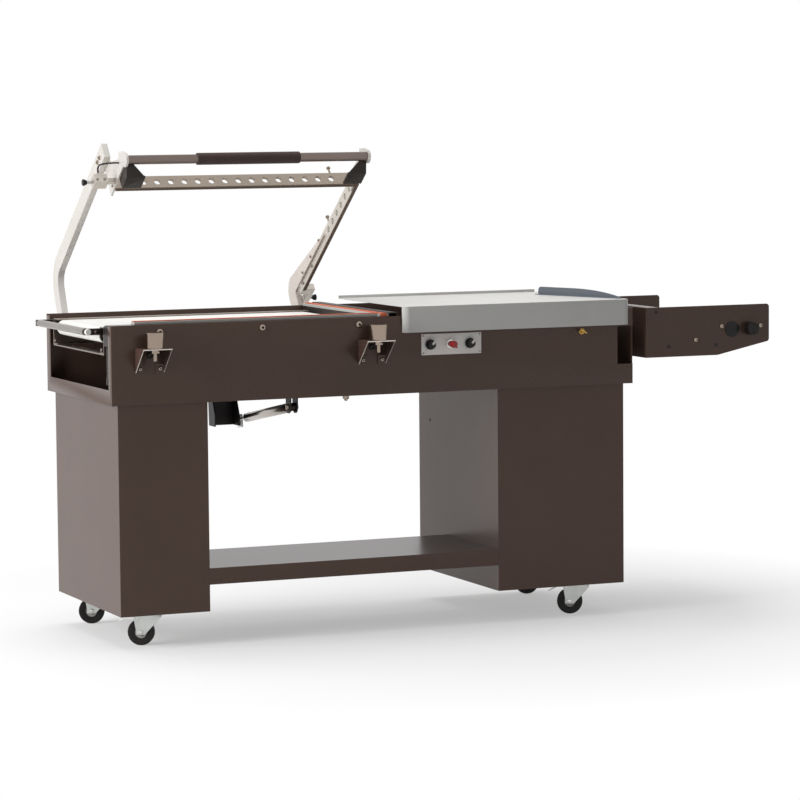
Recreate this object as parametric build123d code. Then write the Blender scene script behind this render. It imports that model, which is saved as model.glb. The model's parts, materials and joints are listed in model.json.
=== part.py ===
from build123d import *
import os
from math import hypot, radians, sin, tan

os.makedirs("parts", exist_ok=True)

# L bar sealer: a cabinet on casters carries a chassis with a take-away conveyor, an L-shaped sealing
# head on a rear pivot, a product tray between the film layers and a film unwind cradle at the right.
# Millimetres. X runs along the machine, Y to the rear and Z up. The values below are measured from
# the chassis's left end, the face of its front panel and the floor. The head's sizes are those of
# the closed head, which lies on the sealing pads; the model shows it raised.

# Fits
RUNNING_FIT = 0.05  # radial clearance of a shaft in its bore
CURVED_GAP = 0.3  # gap between a roller and the belt round it
FACE_GAP = 0.3  # side play of a turning piece against its carrier

# Chassis
SHEET = 2.0
CHASSIS_BOTTOM = 690.0
WORK_HEIGHT = 914.0
REAR_RISE = 2.0
END_STRIP = 43.0
END_FRONT_RETURN = 28.0
END_REAR_RETURN = 34.0
FILM_NOTCH_LENGTH = 50.0
FILM_NOTCH_BOTTOM = 749.0
FILM_NOTCH_TOP = 861.0

# Pedestals and shelf
PEDESTAL_BOTTOM = 95.0
PEDESTAL_INSET = 11.0
PEDESTAL_FLOOR = 3.0
LEFT_PEDESTAL_START = 20.0
LEFT_PEDESTAL_WIDTH = 266.0
RIGHT_PEDESTAL_WIDTH = 410.0
RIGHT_PEDESTAL_GAP = 26.0  # from its end to the chassis's right end
WIRE_HOLE_DIAMETER = 9.0
WIRE_HOLE_INSET = 95.0
WIRE_HOLE_Z = 558.0
SHELF_TOP = 218.0
SHELF_FLANGE = 47.0
SHELF_DEPTH = 385.0

# Sealing beds and pads
BED_WIDTH = 29.0
BED_THICKNESS = 7.5
BED_LEDGE = 43.0
PAD_WIDTH = 15.0
PAD_THICKNESS = 2.5
FRONT_BED_START = 74.0
FRONT_SEAL_Y = 29.0
SIDE_SEAL_X = 822.0
SIDE_RAIL_WIDTH = 29.0
SIDE_RAIL_RISE = 11.0
SIDE_RAIL_DROP = 34.0
SIDE_RAIL_WALL = 3.0

# Product tray and film guide
TRAY_SHEET = 2.0
TRAY_START = 876.0
TRAY_LENGTH = 724.0
TRAY_END_GAP = 20.0  # from the tray to the chassis's right end
TRAY_DEPTH = 502.0
TRAY_OVERHANG = 22.0
TRAY_TOP = 941.0
TRAY_SKIRT = 75.0
TRAY_CORNER = 18.0
TRAY_REAR_CUT = 74.0
TRAY_LIP = 8.0
TRAY_LEDGE_HEIGHT = 15.0
TRAY_LEDGE_RISE = 4.0
TRAY_LEDGE_INSET = 22.0
GUIDE_HEIGHT = 24.0
GUIDE_SHEET = 2.0
GUIDE_FLANGE = 14.0
GUIDE_FRONT_INSET = 8.0
GUIDE_FRONT_Y = 14.0
GUIDE_REAR_INSET = 128.0
GUIDE_REAR_Y = 338.0

# Controls on the front panel
PLATE_START = 938.0
PLATE_LENGTH = 189.0
PLATE_BOTTOM = 798.0
PLATE_HEIGHT = 61.0
PLATE_SHEET = 1.5
DIAL_DIAMETER = 30.0
DIAL_HEIGHT = 18.0
DIAL_SPACING = 125.0
DIAL_OFFSET = -5.0
DIAL_TILT = 40.0
SWITCH_DIAMETER = 20.0
SWITCH_HEIGHT = 34.0
SWITCH_NECK = 14.0
SWITCH_NECK_DIAMETER = 14.0
SWITCH_POINTER = 15.0
SWITCH_POINTER_WIDTH = 6.0
SWITCH_TILT = 45.0
CONTROL_SHAFT = 6.0
CONTROL_SHAFT_LENGTH = 14.0
SWITCH_OFFSET = -4.5

# Hold-down magnets
MAGNET_DIAMETER = 51.0
MAGNET_HEIGHT = 45.0
MAGNET_GROOVE = 3.0
MAGNET_TOP = 895.0
MAGNET_REACH = 46.0
LEFT_MAGNET_X = 112.5
RIGHT_MAGNET_X = 784.5
BRACKET_WIDTH = 86.0
BRACKET_REACH = 70.0
BRACKET_SHEET = 3.0
BRACKET_DROP = 67.0
BRACKET_FOOT = 24.0

# Conveyor
BELT_TOP = 902.0
BELT_THICKNESS = 2.0
BELT_WIDTH = 392.0
BELT_FRONT = 113.0
BELT_REAR_MARGIN = 95.0  # from the belt to the chassis's rear face
ROLLER_DIAMETER = 39.0
DRIVE_ROLLER_X = 24.0
ROLLER_CENTRES = 746.0
ROLLER_SHAFT = 15.0
RAIL_START = 3.0
RAIL_HEIGHT = 74.0
RAIL_TOP = 905.0
RAIL_FLANGE = 35.0
RAIL_WALL = 3.0
RAIL_MARGIN = 3.0
CROSSBAR_WIDTH = 40.0
CROSSBAR_HEIGHT = 30.0
CROSSBAR_WALL = 3.0
CROSSBAR_INSET = 140.0
END_TIE_WIDTH = 30.0
END_TIE_THICKNESS = 4.0
BED_PLATE = 4.0
GEARBOX_LENGTH = 54.0
GEARBOX_HEIGHT = 60.0
GEARBOX_DEPTH = 47.0
MOTOR_DIAMETER = 54.0
MOTOR_LENGTH = 104.0
OUTFEED_DIAMETER = 20.0
OUTFEED_REACH = 38.0
OUTFEED_DROP = 12.0
OUTFEED_AXLE = 8.0
OUTFEED_BLOCK = 16.0
OUTFEED_BLOCK_HEIGHT = 18.0
OUTFEED_LAP = 9.0

# Head pivot
PIVOT_SETBACK = 42.0
PIVOT_HEIGHT = 862.5
OPEN_ANGLE = 37.4
PIVOT_SHAFT = 20.0
PIVOT_SHAFT_STUB = 12.0
BEARING_WIDTH = 30.0
BEARING_RADIUS = 26.0
BEARING_BASE = 86.0
BEARING_FLANGE = 8.0
BEARING_CLEARANCE = 12.0

# Head arms and bars, closed
ARM_THICKNESS = 19.0
ARM_WIDTH = 48.0
ARM_LEAN = 76.0
ARM_LEVEL = 1037.0
ARM_BEND = 75.0
ARM_FRONT = -10.0
ARM_HUB = 28.0
LEFT_ARM_X = 60.0
RIGHT_ARM_TOP = 1015.0
RIGHT_ARM_SHOULDER = 18.0
RIGHT_ARM_NOSE = 317.0
RIGHT_ARM_NOSE_RISE = 7.0
RIGHT_ARM_LAP = 6.0  # the arm's lap on the side bar's face: its thickness and its drop
RIGHT_ARM_LAP_DROP = 18.0
RIGHT_ARM_NECK = 34.0
BAR_THICKNESS = 10.0
BAR_HEIGHT = 41.0
BAR_HOLE = 19.0
BAR_HOLE_PITCH = 41.0
BAR_HOLE_START = 87.0
BAR_HOLE_MARGIN = 50.0
SIDE_BAR_REAR_GAP = 34.0
BAND_THICKNESS = 3.0
WIRE_WIDTH = 3.0
WIRE_THICKNESS = 0.8
CLOSED_GAP = 0.5
END_PLATE = 6.0
END_PLATE_DEPTH = 60.0
END_PLATE_NOSE = 20.0
END_PLATE_CREST = 30.0
ARMATURE_WIDTH = 56.0
ARMATURE_LENGTH = 50.0
ARMATURE_THICKNESS = 6.0
GUSSET_THICKNESS = 4.0
GUSSET_TOP_WIDTH = 22.0
BRACKET_WEB_TOP = 931.0
BRACKET_WEB_REAR = -16.0
HANDLE_DIAMETER = 26.0
HANDLE_WALL = 3.0
HANDLE_REACH = 102.5
HANDLE_HEIGHT = 933.5
GRIP_DIAMETER = 34.0
GRIP_LENGTH = 310.0
TERMINAL_BOTTOM = 918.0
TERMINAL_HEIGHT = 29.0
TERMINAL_LENGTH = 40.0
TERMINAL_FRONT = -22.0
TERMINAL_DEPTH = 34.0
TERMINAL_STANDOFF = 29.0
TERMINAL_BAR = 14.0
REAR_TERMINAL_LENGTH = 41.0
REAR_TERMINAL_DEPTH = 24.0
REAR_TERMINAL_HEIGHT = 22.0
REAR_LUG_LENGTH = 18.0
REAR_LUG_DEPTH = 50.0
TENSION_KNOB = 20.0
TENSION_KNOB_HEIGHT = 13.0
TENSION_SHAFT = 6.0
TENSION_SHAFT_LENGTH = 15.0
REAR_SHAFT_LENGTH = 10.0
TENSION_SHAFT_SEAT = 14.0
LEAD_DIAMETER = 5.0
LEAD_RISE = 31.0
LEAD_FALL = 20.0
LEAD_REACH = 48.0
LEAD_BEND = 15.0

# Head spring, raised head
SPRING_X = 600.0
SPRING_ANCHOR_Y = 165.0
SPRING_ANCHOR_Z = 650.0
SPRING_PIN_OFFSET = 44.0
SPRING_PIN_Z = 579.0
SPRING_PIN = 10.0
SPRING_TUBE = 28.0
SPRING_ROD_SHOWN = 58.8  # from the tube's end to the eye, head raised
SPRING_ROD = 8.0
SPRING_EYE_WIDTH = 16.0
SPRING_STROKE = 177.0
EYE_PLATE = 8.0
EYE_SLOT_PLAY = 4.2
EYE_SLOT_TRAVEL = 11.0
LEVER_WIDTH = 80.0
LEVER_WALL = 4.0
LEVER_HUB = 19.0
ANCHOR_CHEEK = 4.0
SPRING_NECK = 12.0
SPRING_NECK_LENGTH = 26.0

# Film unwind
UNWIND_SHEET = 2.5
UNWIND_GAP = 44.0
UNWIND_LENGTH = 416.0
UNWIND_REAR_LENGTH = 343.0
UNWIND_BOTTOM = 763.0
UNWIND_HEIGHT = 149.0
UNWIND_REAR_GAP = 25.0
UNWIND_NOSE_RISE = 37.0
UNWIND_NOSE_LENGTH = 175.0
UNWIND_CORNER = 10.0
UNWIND_FLANGE = 42.0
SPACER_HEIGHT = 60.0
SPACER_DEPTH = 40.0
SPACER_WALL = 3.0
SPACER_INSET = 90.0
CRADLE_DIAMETER = 38.0
CRADLE_AXLE = 12.0
CRADLE_Z = 794.0
NEAR_CRADLE_OFFSET = 76.0
CRADLE_SPACING = 159.0
UNWIND_KNOB = 40.0
UNWIND_KNOB_HEIGHT = 24.0
UNWIND_KNOB_INSET = 68.0
UNWIND_KNOB_Z = 840.0
UNWIND_KNOB_STEM = 10.0
UNWIND_KNOB_BASE = 30.0
UNWIND_KNOB_BASE_HEIGHT = 5.0

# Casters
WHEEL_DIAMETER = 76.0
WHEEL_WIDTH = 24.0
WHEEL_AXLE = 8.0
HUB_RECESS = 4.0
TREAD_DEPTH = 9.0
CASTER_TRAIL = 32.0
CASTER_PLATE_LENGTH = 84.0
CASTER_PLATE_WIDTH = 66.0
CASTER_PLATE = 3.0
CASTER_STEM = 10.0
FORK_SHEET = 3.0
FORK_GAP = 2.0
FORK_CROWN = 26.0
RACE_HEIGHT = 7.0
LEFT_CASTER_X = 136.0
RIGHT_CASTER_INSET = 110.0
FRONT_CASTER_Y = 80.0
REAR_CASTER_INSET = 68.0
BRAKE_LENGTH = 54.0
BRAKE_SHEET = 2.5
BRAKE_PIN = 5.0
BRAKE_PIN_REACH = 10.0
BRAKE_PIN_LIFT = 4.0
BRAKE_DROP = 14.0

# Places worked out from the driving dimensions
BELT_REAR = BELT_FRONT + BELT_WIDTH
TRAY_END = TRAY_START + TRAY_LENGTH
CHASSIS_LENGTH = TRAY_END + TRAY_END_GAP
CHASSIS_DEPTH = BELT_REAR + BELT_REAR_MARGIN
REAR_INSIDE = CHASSIS_DEPTH - SHEET
RIGHT_PEDESTAL_END = CHASSIS_LENGTH - RIGHT_PEDESTAL_GAP
RIGHT_PEDESTAL_START = RIGHT_PEDESTAL_END - RIGHT_PEDESTAL_WIDTH
RIGHT_CASTER_X = RIGHT_PEDESTAL_END - RIGHT_CASTER_INSET
REAR_CASTER_Y = CHASSIS_DEPTH - REAR_CASTER_INSET
WIRE_HOLE_Y = CHASSIS_DEPTH - WIRE_HOLE_INSET
UNWIND_DEPTH = CHASSIS_DEPTH - UNWIND_REAR_GAP
PEDESTAL_REAR = CHASSIS_DEPTH - PEDESTAL_INSET
LEFT_PEDESTAL_END = LEFT_PEDESTAL_START + LEFT_PEDESTAL_WIDTH
PAD_TOP = WORK_HEIGHT + BED_THICKNESS + PAD_THICKNESS
WIRE_BOTTOM = PAD_TOP + CLOSED_GAP
BAND_BOTTOM = WIRE_BOTTOM + WIRE_THICKNESS
BAR_BOTTOM = BAND_BOTTOM + BAND_THICKNESS
BAR_TOP = BAR_BOTTOM + BAR_HEIGHT
SIDE_BAR_LEFT = SIDE_SEAL_X - BAR_THICKNESS / 2
SIDE_BED_START = SIDE_SEAL_X - BED_WIDTH / 2
SIDE_RAIL_START = SIDE_SEAL_X + BED_WIDTH / 2
PIVOT_Y = CHASSIS_DEPTH + PIVOT_SETBACK
SIDE_BAR_END = CHASSIS_DEPTH - SIDE_BAR_REAR_GAP
SPRING_PIN_Y = PIVOT_Y - SPRING_PIN_OFFSET
TRAY_REAR = TRAY_DEPTH - TRAY_OVERHANG
ROLLER_Z = BELT_TOP - BELT_THICKNESS - ROLLER_DIAMETER / 2
FRONT_RAIL = BELT_FRONT - RAIL_MARGIN - RAIL_FLANGE
REAR_RAIL = BELT_REAR + RAIL_MARGIN + RAIL_FLANGE
RAIL_BOTTOM = RAIL_TOP - RAIL_HEIGHT
IDLER_ROLLER_X = DRIVE_ROLLER_X + ROLLER_CENTRES
RAIL_END = IDLER_ROLLER_X + ROLLER_DIAMETER / 2 + BELT_THICKNESS
OUTFEED_Z = RAIL_TOP - OUTFEED_DROP
UNWIND_START = CHASSIS_LENGTH + UNWIND_GAP
UNWIND_END = UNWIND_START + UNWIND_LENGTH
UNWIND_TOP = UNWIND_BOTTOM + UNWIND_HEIGHT
ARMATURE_BOTTOM = MAGNET_TOP + CLOSED_GAP
LEFT_END_PLATE_X = LEFT_ARM_X + ARM_THICKNESS
RIGHT_END_PLATE_X = SIDE_BAR_LEFT - END_PLATE
RIGHT_ARM_X = SIDE_BAR_LEFT - RIGHT_ARM_LAP
HANDLE_START = LEFT_END_PLATE_X + END_PLATE

# Raising the closed head about its pivot, and the line of the head spring
RAISED = Pos(0, PIVOT_Y, PIVOT_HEIGHT) * Rot(X=-OPEN_ANGLE) * Pos(0, -PIVOT_Y, -PIVOT_HEIGHT)
SPRING_LENGTH = hypot(SPRING_PIN_Y - SPRING_ANCHOR_Y, SPRING_PIN_Z - SPRING_ANCHOR_Z)
SPRING_TUBE_END = SPRING_LENGTH - SPRING_ROD_SHOWN
SPRING_LINE = Plane(
    origin=(SPRING_X, SPRING_ANCHOR_Y, SPRING_ANCHOR_Z),
    x_dir=(1, 0, 0),
    z_dir=(0, SPRING_PIN_Y - SPRING_ANCHOR_Y, SPRING_PIN_Z - SPRING_ANCHOR_Z),
)


# Shape helpers
def block(x0, x1, y0, y1, z0, z1):
    corner = (Align.MIN, Align.MIN, Align.MIN)
    return Pos(x0, y0, z0) * Box(x1 - x0, y1 - y0, z1 - z0, align=corner)


def rod_x(x0, x1, y, z, diameter):
    return Pos((x0 + x1) / 2, y, z) * Rot(Y=90) * Cylinder(diameter / 2, x1 - x0)


def rod_y(y0, y1, x, z, diameter):
    return Pos(x, (y0 + y1) / 2, z) * Rot(X=90) * Cylinder(diameter / 2, y1 - y0)


def rod_z(z0, z1, x, y, diameter):
    return Pos(x, y, (z0 + z1) / 2) * Cylinder(diameter / 2, z1 - z0)


def outline_yz(points, x0, thickness, radius=None):
    line = FilletPolyline(*points, radius=radius, close=True) if radius else Polyline(*points, close=True)
    return extrude(make_face(Plane.YZ.offset(x0) * line), amount=thickness, dir=(1, 0, 0))


def outline_xz(points, y0, thickness, radius=None):
    line = FilletPolyline(*points, radius=radius, close=True) if radius else Polyline(*points, close=True)
    standing = Plane(origin=(0, y0, 0), x_dir=(1, 0, 0), z_dir=(0, -1, 0))
    return extrude(make_face(standing * line), amount=thickness, dir=(0, 1, 0))


# Cabinet
def pedestal(start, width):
    outside = block(start, start + width, PEDESTAL_INSET, PEDESTAL_REAR, PEDESTAL_BOTTOM, CHASSIS_BOTTOM)
    inside = block(
        start + SHEET,
        start + width - SHEET,
        PEDESTAL_INSET + SHEET,
        PEDESTAL_REAR - SHEET,
        PEDESTAL_BOTTOM + PEDESTAL_FLOOR,
        CHASSIS_BOTTOM,
    )
    return outside - inside


def left_pedestal():
    return pedestal(LEFT_PEDESTAL_START, LEFT_PEDESTAL_WIDTH)


def right_pedestal():
    wall = RIGHT_PEDESTAL_START
    hole = rod_x(wall - SHEET, wall + 2 * SHEET, WIRE_HOLE_Y, WIRE_HOLE_Z, WIRE_HOLE_DIAMETER)
    return pedestal(wall, RIGHT_PEDESTAL_WIDTH) - hole


def lower_shelf():
    left = LEFT_PEDESTAL_END
    right = RIGHT_PEDESTAL_START
    front = PEDESTAL_INSET
    rear = PEDESTAL_INSET + SHELF_DEPTH
    folded = block(left, right, front, rear, SHELF_TOP - SHELF_FLANGE, SHELF_TOP)
    hollow = block(
        left + SHEET,
        right - SHEET,
        front + SHEET,
        rear - SHEET,
        SHELF_TOP - SHELF_FLANGE,
        SHELF_TOP - SHEET,
    )
    return folded - hollow


# Chassis
def control_places():
    middle = PLATE_START + PLATE_LENGTH / 2
    height = PLATE_BOTTOM + PLATE_HEIGHT / 2
    return {
        "left_dial": (middle + DIAL_OFFSET - DIAL_SPACING / 2, height),
        "mode_switch": (middle + SWITCH_OFFSET, height),
        "right_dial": (middle + DIAL_OFFSET + DIAL_SPACING / 2, height),
    }


def control_bores():
    bore = CONTROL_SHAFT + 2 * RUNNING_FIT
    return [rod_y(-PLATE_SHEET, SHEET, x, z, bore) for x, z in control_places().values()]


def front_panel():
    panel = block(0, CHASSIS_LENGTH, 0, SHEET, CHASSIS_BOTTOM, WORK_HEIGHT)
    panel += block(0, SIDE_BED_START, SHEET, SHEET + BED_LEDGE, WORK_HEIGHT - SHEET, WORK_HEIGHT)
    ledge_bottom = TRAY_TOP - TRAY_SKIRT + TRAY_LEDGE_RISE
    panel += block(
        TRAY_START + TRAY_LEDGE_INSET,
        TRAY_END - TRAY_LEDGE_INSET,
        TRAY_SHEET - TRAY_OVERHANG,
        0,
        ledge_bottom,
        ledge_bottom + TRAY_LEDGE_HEIGHT,
    )
    notch_start = CHASSIS_LENGTH - FILM_NOTCH_LENGTH
    panel -= block(notch_start, CHASSIS_LENGTH, 0, SHEET, FILM_NOTCH_BOTTOM, FILM_NOTCH_TOP)
    for bore in control_bores():
        panel -= bore
    return panel


def rear_panel():
    return block(0, CHASSIS_LENGTH, REAR_INSIDE, CHASSIS_DEPTH, CHASSIS_BOTTOM, WORK_HEIGHT + REAR_RISE)


def left_end_panel():
    panel = block(0, SHEET, SHEET, REAR_INSIDE, CHASSIS_BOTTOM, WORK_HEIGHT - SHEET)
    opening_bottom = CHASSIS_BOTTOM + END_STRIP
    opening_rear = CHASSIS_DEPTH - END_REAR_RETURN
    return panel - block(0, SHEET, END_FRONT_RETURN, opening_rear, opening_bottom, WORK_HEIGHT)


def right_end_panel():
    wall = CHASSIS_LENGTH - SHEET
    return block(wall, CHASSIS_LENGTH, SHEET, REAR_INSIDE, CHASSIS_BOTTOM, WORK_HEIGHT)


def spring_anchor():
    clear = SPRING_EYE_WIDTH / 2 + FACE_GAP
    outside = clear + ANCHOR_CHEEK
    half_width = SPRING_TUBE / 2 + ANCHOR_CHEEK
    front = SPRING_ANCHOR_Y - half_width
    rear = SPRING_ANCHOR_Y + half_width
    cheeks = []
    for start in (SPRING_X - outside, SPRING_X + clear):
        end = start + ANCHOR_CHEEK
        cheek = block(start, end, front, rear, SPRING_ANCHOR_Z, CHASSIS_BOTTOM)
        cheeks.append(cheek + rod_x(start, end, SPRING_ANCHOR_Y, SPRING_ANCHOR_Z, 2 * half_width))
    pin = rod_x(SPRING_X - outside, SPRING_X + outside, SPRING_ANCHOR_Y, SPRING_ANCHOR_Z, SPRING_PIN)
    return cheeks[0] + cheeks[1] + pin


def chassis_floor():
    plate = block(
        SHEET, CHASSIS_LENGTH - SHEET, SHEET, REAR_INSIDE, CHASSIS_BOTTOM, CHASSIS_BOTTOM + SHEET
    )
    return plate + spring_anchor()


# Sealing beds
def side_rail():
    low = WORK_HEIGHT - SIDE_RAIL_DROP
    high = WORK_HEIGHT + SIDE_RAIL_RISE
    end = SIDE_RAIL_START + SIDE_RAIL_WIDTH
    wall = SIDE_RAIL_WALL
    outside = [
        (SIDE_BED_START, low),
        (end, low),
        (end, high),
        (SIDE_RAIL_START, high),
        (SIDE_RAIL_START, WORK_HEIGHT),
        (SIDE_BED_START, WORK_HEIGHT),
    ]
    inside = [
        (SIDE_BED_START + wall, low + wall),
        (end - wall, low + wall),
        (end - wall, high - wall),
        (SIDE_RAIL_START + wall, high - wall),
        (SIDE_RAIL_START + wall, WORK_HEIGHT - wall),
        (SIDE_BED_START + wall, WORK_HEIGHT - wall),
    ]
    length = REAR_INSIDE - SHEET
    return outline_xz(outside, SHEET, length) - outline_xz(inside, SHEET, length)


def seal_beds():
    top = WORK_HEIGHT + BED_THICKNESS
    front_y = FRONT_SEAL_Y - BED_WIDTH / 2
    front_bed = block(FRONT_BED_START, SIDE_BED_START, front_y, front_y + BED_WIDTH, WORK_HEIGHT, top)
    side_bed = block(SIDE_BED_START, SIDE_RAIL_START, SHEET, REAR_INSIDE, WORK_HEIGHT, top)
    return [front_bed, side_bed]


def seal_pads():
    low = WORK_HEIGHT + BED_THICKNESS
    front_y = FRONT_SEAL_Y - PAD_WIDTH / 2
    side_x = SIDE_SEAL_X - PAD_WIDTH / 2
    front_pad = block(FRONT_BED_START, side_x, front_y, front_y + PAD_WIDTH, low, PAD_TOP)
    side_pad = block(side_x, side_x + PAD_WIDTH, SHEET, REAR_INSIDE, low, PAD_TOP)
    return [front_pad, side_pad]


# Product tray
def product_tray():
    low = TRAY_TOP - TRAY_SKIRT
    front = -TRAY_OVERHANG
    plan = [
        (TRAY_START, front),
        (TRAY_END, front),
        (TRAY_END, TRAY_REAR - TRAY_REAR_CUT),
        (TRAY_END - TRAY_REAR_CUT, TRAY_REAR),
        (TRAY_START, TRAY_REAR),
    ]
    outline = make_face(Pos(0, 0, low) * Polyline(*plan, close=True))
    body = extrude(outline, amount=TRAY_SKIRT, dir=(0, 0, 1))
    body = fillet(body.edges().filter_by(Axis.Z).group_by(Axis.Y)[0], TRAY_CORNER)
    hollow = offset(body, amount=-TRAY_SHEET)
    hollow += extrude(hollow.faces().sort_by(Axis.Z)[0], amount=TRAY_SHEET, dir=(0, 0, -1))
    skirt_end = TRAY_CORNER - TRAY_OVERHANG
    tray = body - hollow
    tray -= block(TRAY_START, TRAY_END, skirt_end, TRAY_REAR, low, TRAY_TOP - TRAY_SHEET)
    lip_end = TRAY_END - TRAY_REAR_CUT
    lip_front = TRAY_REAR - TRAY_SHEET
    return tray + block(TRAY_START, lip_end, lip_front, TRAY_REAR, TRAY_TOP - TRAY_SHEET, TRAY_TOP + TRAY_LIP)


def film_guide_wing():
    near = Vector(TRAY_END - GUIDE_FRONT_INSET, GUIDE_FRONT_Y, TRAY_TOP)
    far = Vector(TRAY_END - GUIDE_REAR_INSET, GUIDE_REAR_Y, TRAY_TOP)
    length = (near - far).length
    along = (near - far).normalized()
    face = Plane(origin=far, x_dir=along, z_dir=along.cross(Vector(0, 0, 1)))
    nose_radius = GUIDE_HEIGHT / 2
    slant = nose_radius * sin(radians(45))
    nose = ThreePointArc(
        (0, nose_radius), (nose_radius - slant, nose_radius + slant), (nose_radius, GUIDE_HEIGHT)
    )
    crest = Line((nose_radius, GUIDE_HEIGHT), (length * 0.4, GUIDE_HEIGHT))
    fall = Bezier((length * 0.4, GUIDE_HEIGHT), (length * 0.75, GUIDE_HEIGHT), (length, GUIDE_SHEET))
    base = Polyline((length, GUIDE_SHEET), (length, 0), (0, 0), (0, nose_radius))
    blade = extrude(make_face(face * Wire([nose, crest, fall, *base.edges()])), amount=GUIDE_SHEET)
    foot = face * Pos(length / 2, GUIDE_SHEET / 2, GUIDE_FLANGE / 2) * Box(length, GUIDE_SHEET, GUIDE_FLANGE)
    return blade + foot


# Controls
def control_plate():
    plate = block(
        PLATE_START, PLATE_START + PLATE_LENGTH, -PLATE_SHEET, 0, PLATE_BOTTOM, PLATE_BOTTOM + PLATE_HEIGHT
    )
    for bore in control_bores():
        plate -= bore
    return plate


def dial(x, z):
    back = -PLATE_SHEET - FACE_GAP
    front = back - DIAL_HEIGHT
    shoulder = back - DIAL_HEIGHT / 3
    half = DIAL_DIAMETER / 12
    skirt = rod_y(shoulder, back, x, z, DIAL_DIAMETER)
    grip = rod_y(front, shoulder, x, z, DIAL_DIAMETER * 0.78)
    pointer = Pos(x, 0, z) * Rot(Y=DIAL_TILT) * block(-half, half, front, shoulder, 0, DIAL_DIAMETER / 2)
    return skirt + grip + pointer + rod_y(back, CONTROL_SHAFT_LENGTH, x, z, CONTROL_SHAFT)


def left_dial():
    return dial(*control_places()["left_dial"])


def right_dial():
    return dial(*control_places()["right_dial"])


def mode_switch():
    x, z = control_places()["mode_switch"]
    back = -PLATE_SHEET - FACE_GAP
    front = back - SWITCH_HEIGHT
    shoulder = back - SWITCH_NECK
    half = SWITCH_POINTER_WIDTH / 2
    neck = rod_y(shoulder, back, x, z, SWITCH_NECK_DIAMETER)
    grip = rod_y(front, shoulder, x, z, SWITCH_DIAMETER)
    pointer = Pos(x, 0, z) * Rot(Y=SWITCH_TILT) * block(0, SWITCH_POINTER, front, shoulder, -half, half)
    return neck + grip + pointer + rod_y(back, CONTROL_SHAFT_LENGTH, x, z, CONTROL_SHAFT)


# Hold-down magnets
def magnet_brackets():
    brackets = []
    top = MAGNET_TOP - MAGNET_HEIGHT
    shelf = top - BRACKET_SHEET
    for centre in (LEFT_MAGNET_X, RIGHT_MAGNET_X):
        left = centre - BRACKET_WIDTH / 2
        right = centre + BRACKET_WIDTH / 2
        bracket = block(left, right, -BRACKET_REACH, 0, shelf, top)
        web = [(0, shelf), (-BRACKET_REACH, shelf), (0, shelf - BRACKET_DROP)]
        bracket += outline_yz(web, left, BRACKET_SHEET)
        bracket += outline_yz(web, right - BRACKET_SHEET, BRACKET_SHEET)
        foot_top = shelf - BRACKET_DROP + BRACKET_FOOT
        foot_bottom = shelf - BRACKET_DROP
        inner_left = left + BRACKET_SHEET
        inner_right = right - BRACKET_SHEET
        bracket += block(inner_left, inner_left + BRACKET_FOOT, -BRACKET_SHEET, 0, foot_bottom, foot_top)
        bracket += block(inner_right - BRACKET_FOOT, inner_right, -BRACKET_SHEET, 0, foot_bottom, foot_top)
        brackets.append(bracket)
    return brackets


def hold_down_magnets():
    magnets = []
    for centre in (LEFT_MAGNET_X, RIGHT_MAGNET_X):
        place = (centre, -MAGNET_REACH)
        pot = rod_z(MAGNET_TOP - MAGNET_HEIGHT, MAGNET_TOP, *place, MAGNET_DIAMETER)
        groove = rod_z(MAGNET_TOP - MAGNET_GROOVE, MAGNET_TOP, *place, MAGNET_DIAMETER * 0.78)
        groove -= rod_z(MAGNET_TOP - MAGNET_GROOVE, MAGNET_TOP, *place, MAGNET_DIAMETER * 0.48)
        magnets.append(pot - groove)
    return magnets


# Conveyor
def conveyor_rail(web_y, inward):
    web = block(RAIL_START, RAIL_END, *sorted((web_y, web_y + inward * RAIL_WALL)), RAIL_BOTTOM, RAIL_TOP)
    flange_y = sorted((web_y, web_y + inward * RAIL_FLANGE))
    rail = web + block(RAIL_START, RAIL_END, *flange_y, RAIL_BOTTOM, RAIL_BOTTOM + RAIL_WALL)
    rail += block(RAIL_START, RAIL_END, *flange_y, RAIL_TOP - RAIL_WALL, RAIL_TOP)
    for x in (DRIVE_ROLLER_X, IDLER_ROLLER_X):
        bore = ROLLER_SHAFT + 2 * RUNNING_FIT
        rail -= rod_y(web_y - RAIL_WALL, web_y + RAIL_WALL, x, ROLLER_Z, bore)
    return rail


def conveyor_frame():
    pieces = [conveyor_rail(FRONT_RAIL, 1), conveyor_rail(REAR_RAIL, -1)]
    bar_bottom = RAIL_BOTTOM - CROSSBAR_HEIGHT
    for start in (RAIL_START + CROSSBAR_INSET, RAIL_END - CROSSBAR_INSET - CROSSBAR_WIDTH):
        end = start + CROSSBAR_WIDTH
        tube = block(start, end, SHEET, REAR_INSIDE, bar_bottom, RAIL_BOTTOM)
        wall = CROSSBAR_WALL
        bore = block(start + wall, end - wall, SHEET, REAR_INSIDE, bar_bottom + wall, RAIL_BOTTOM - wall)
        pieces.append(tube - bore)
    tie_end = RAIL_START + END_TIE_WIDTH
    tie_bottom = RAIL_BOTTOM - END_TIE_THICKNESS
    pieces.append(block(RAIL_START, tie_end, FRONT_RAIL, REAR_RAIL, tie_bottom, RAIL_BOTTOM))
    return pieces


def conveyor_bed():
    top = BELT_TOP - BELT_THICKNESS
    start = DRIVE_ROLLER_X + ROLLER_DIAMETER / 2 + BELT_THICKNESS
    end = IDLER_ROLLER_X - ROLLER_DIAMETER / 2 - BELT_THICKNESS
    return block(start, end, FRONT_RAIL + RAIL_WALL, REAR_RAIL - RAIL_WALL, top - BED_PLATE, top)


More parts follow.
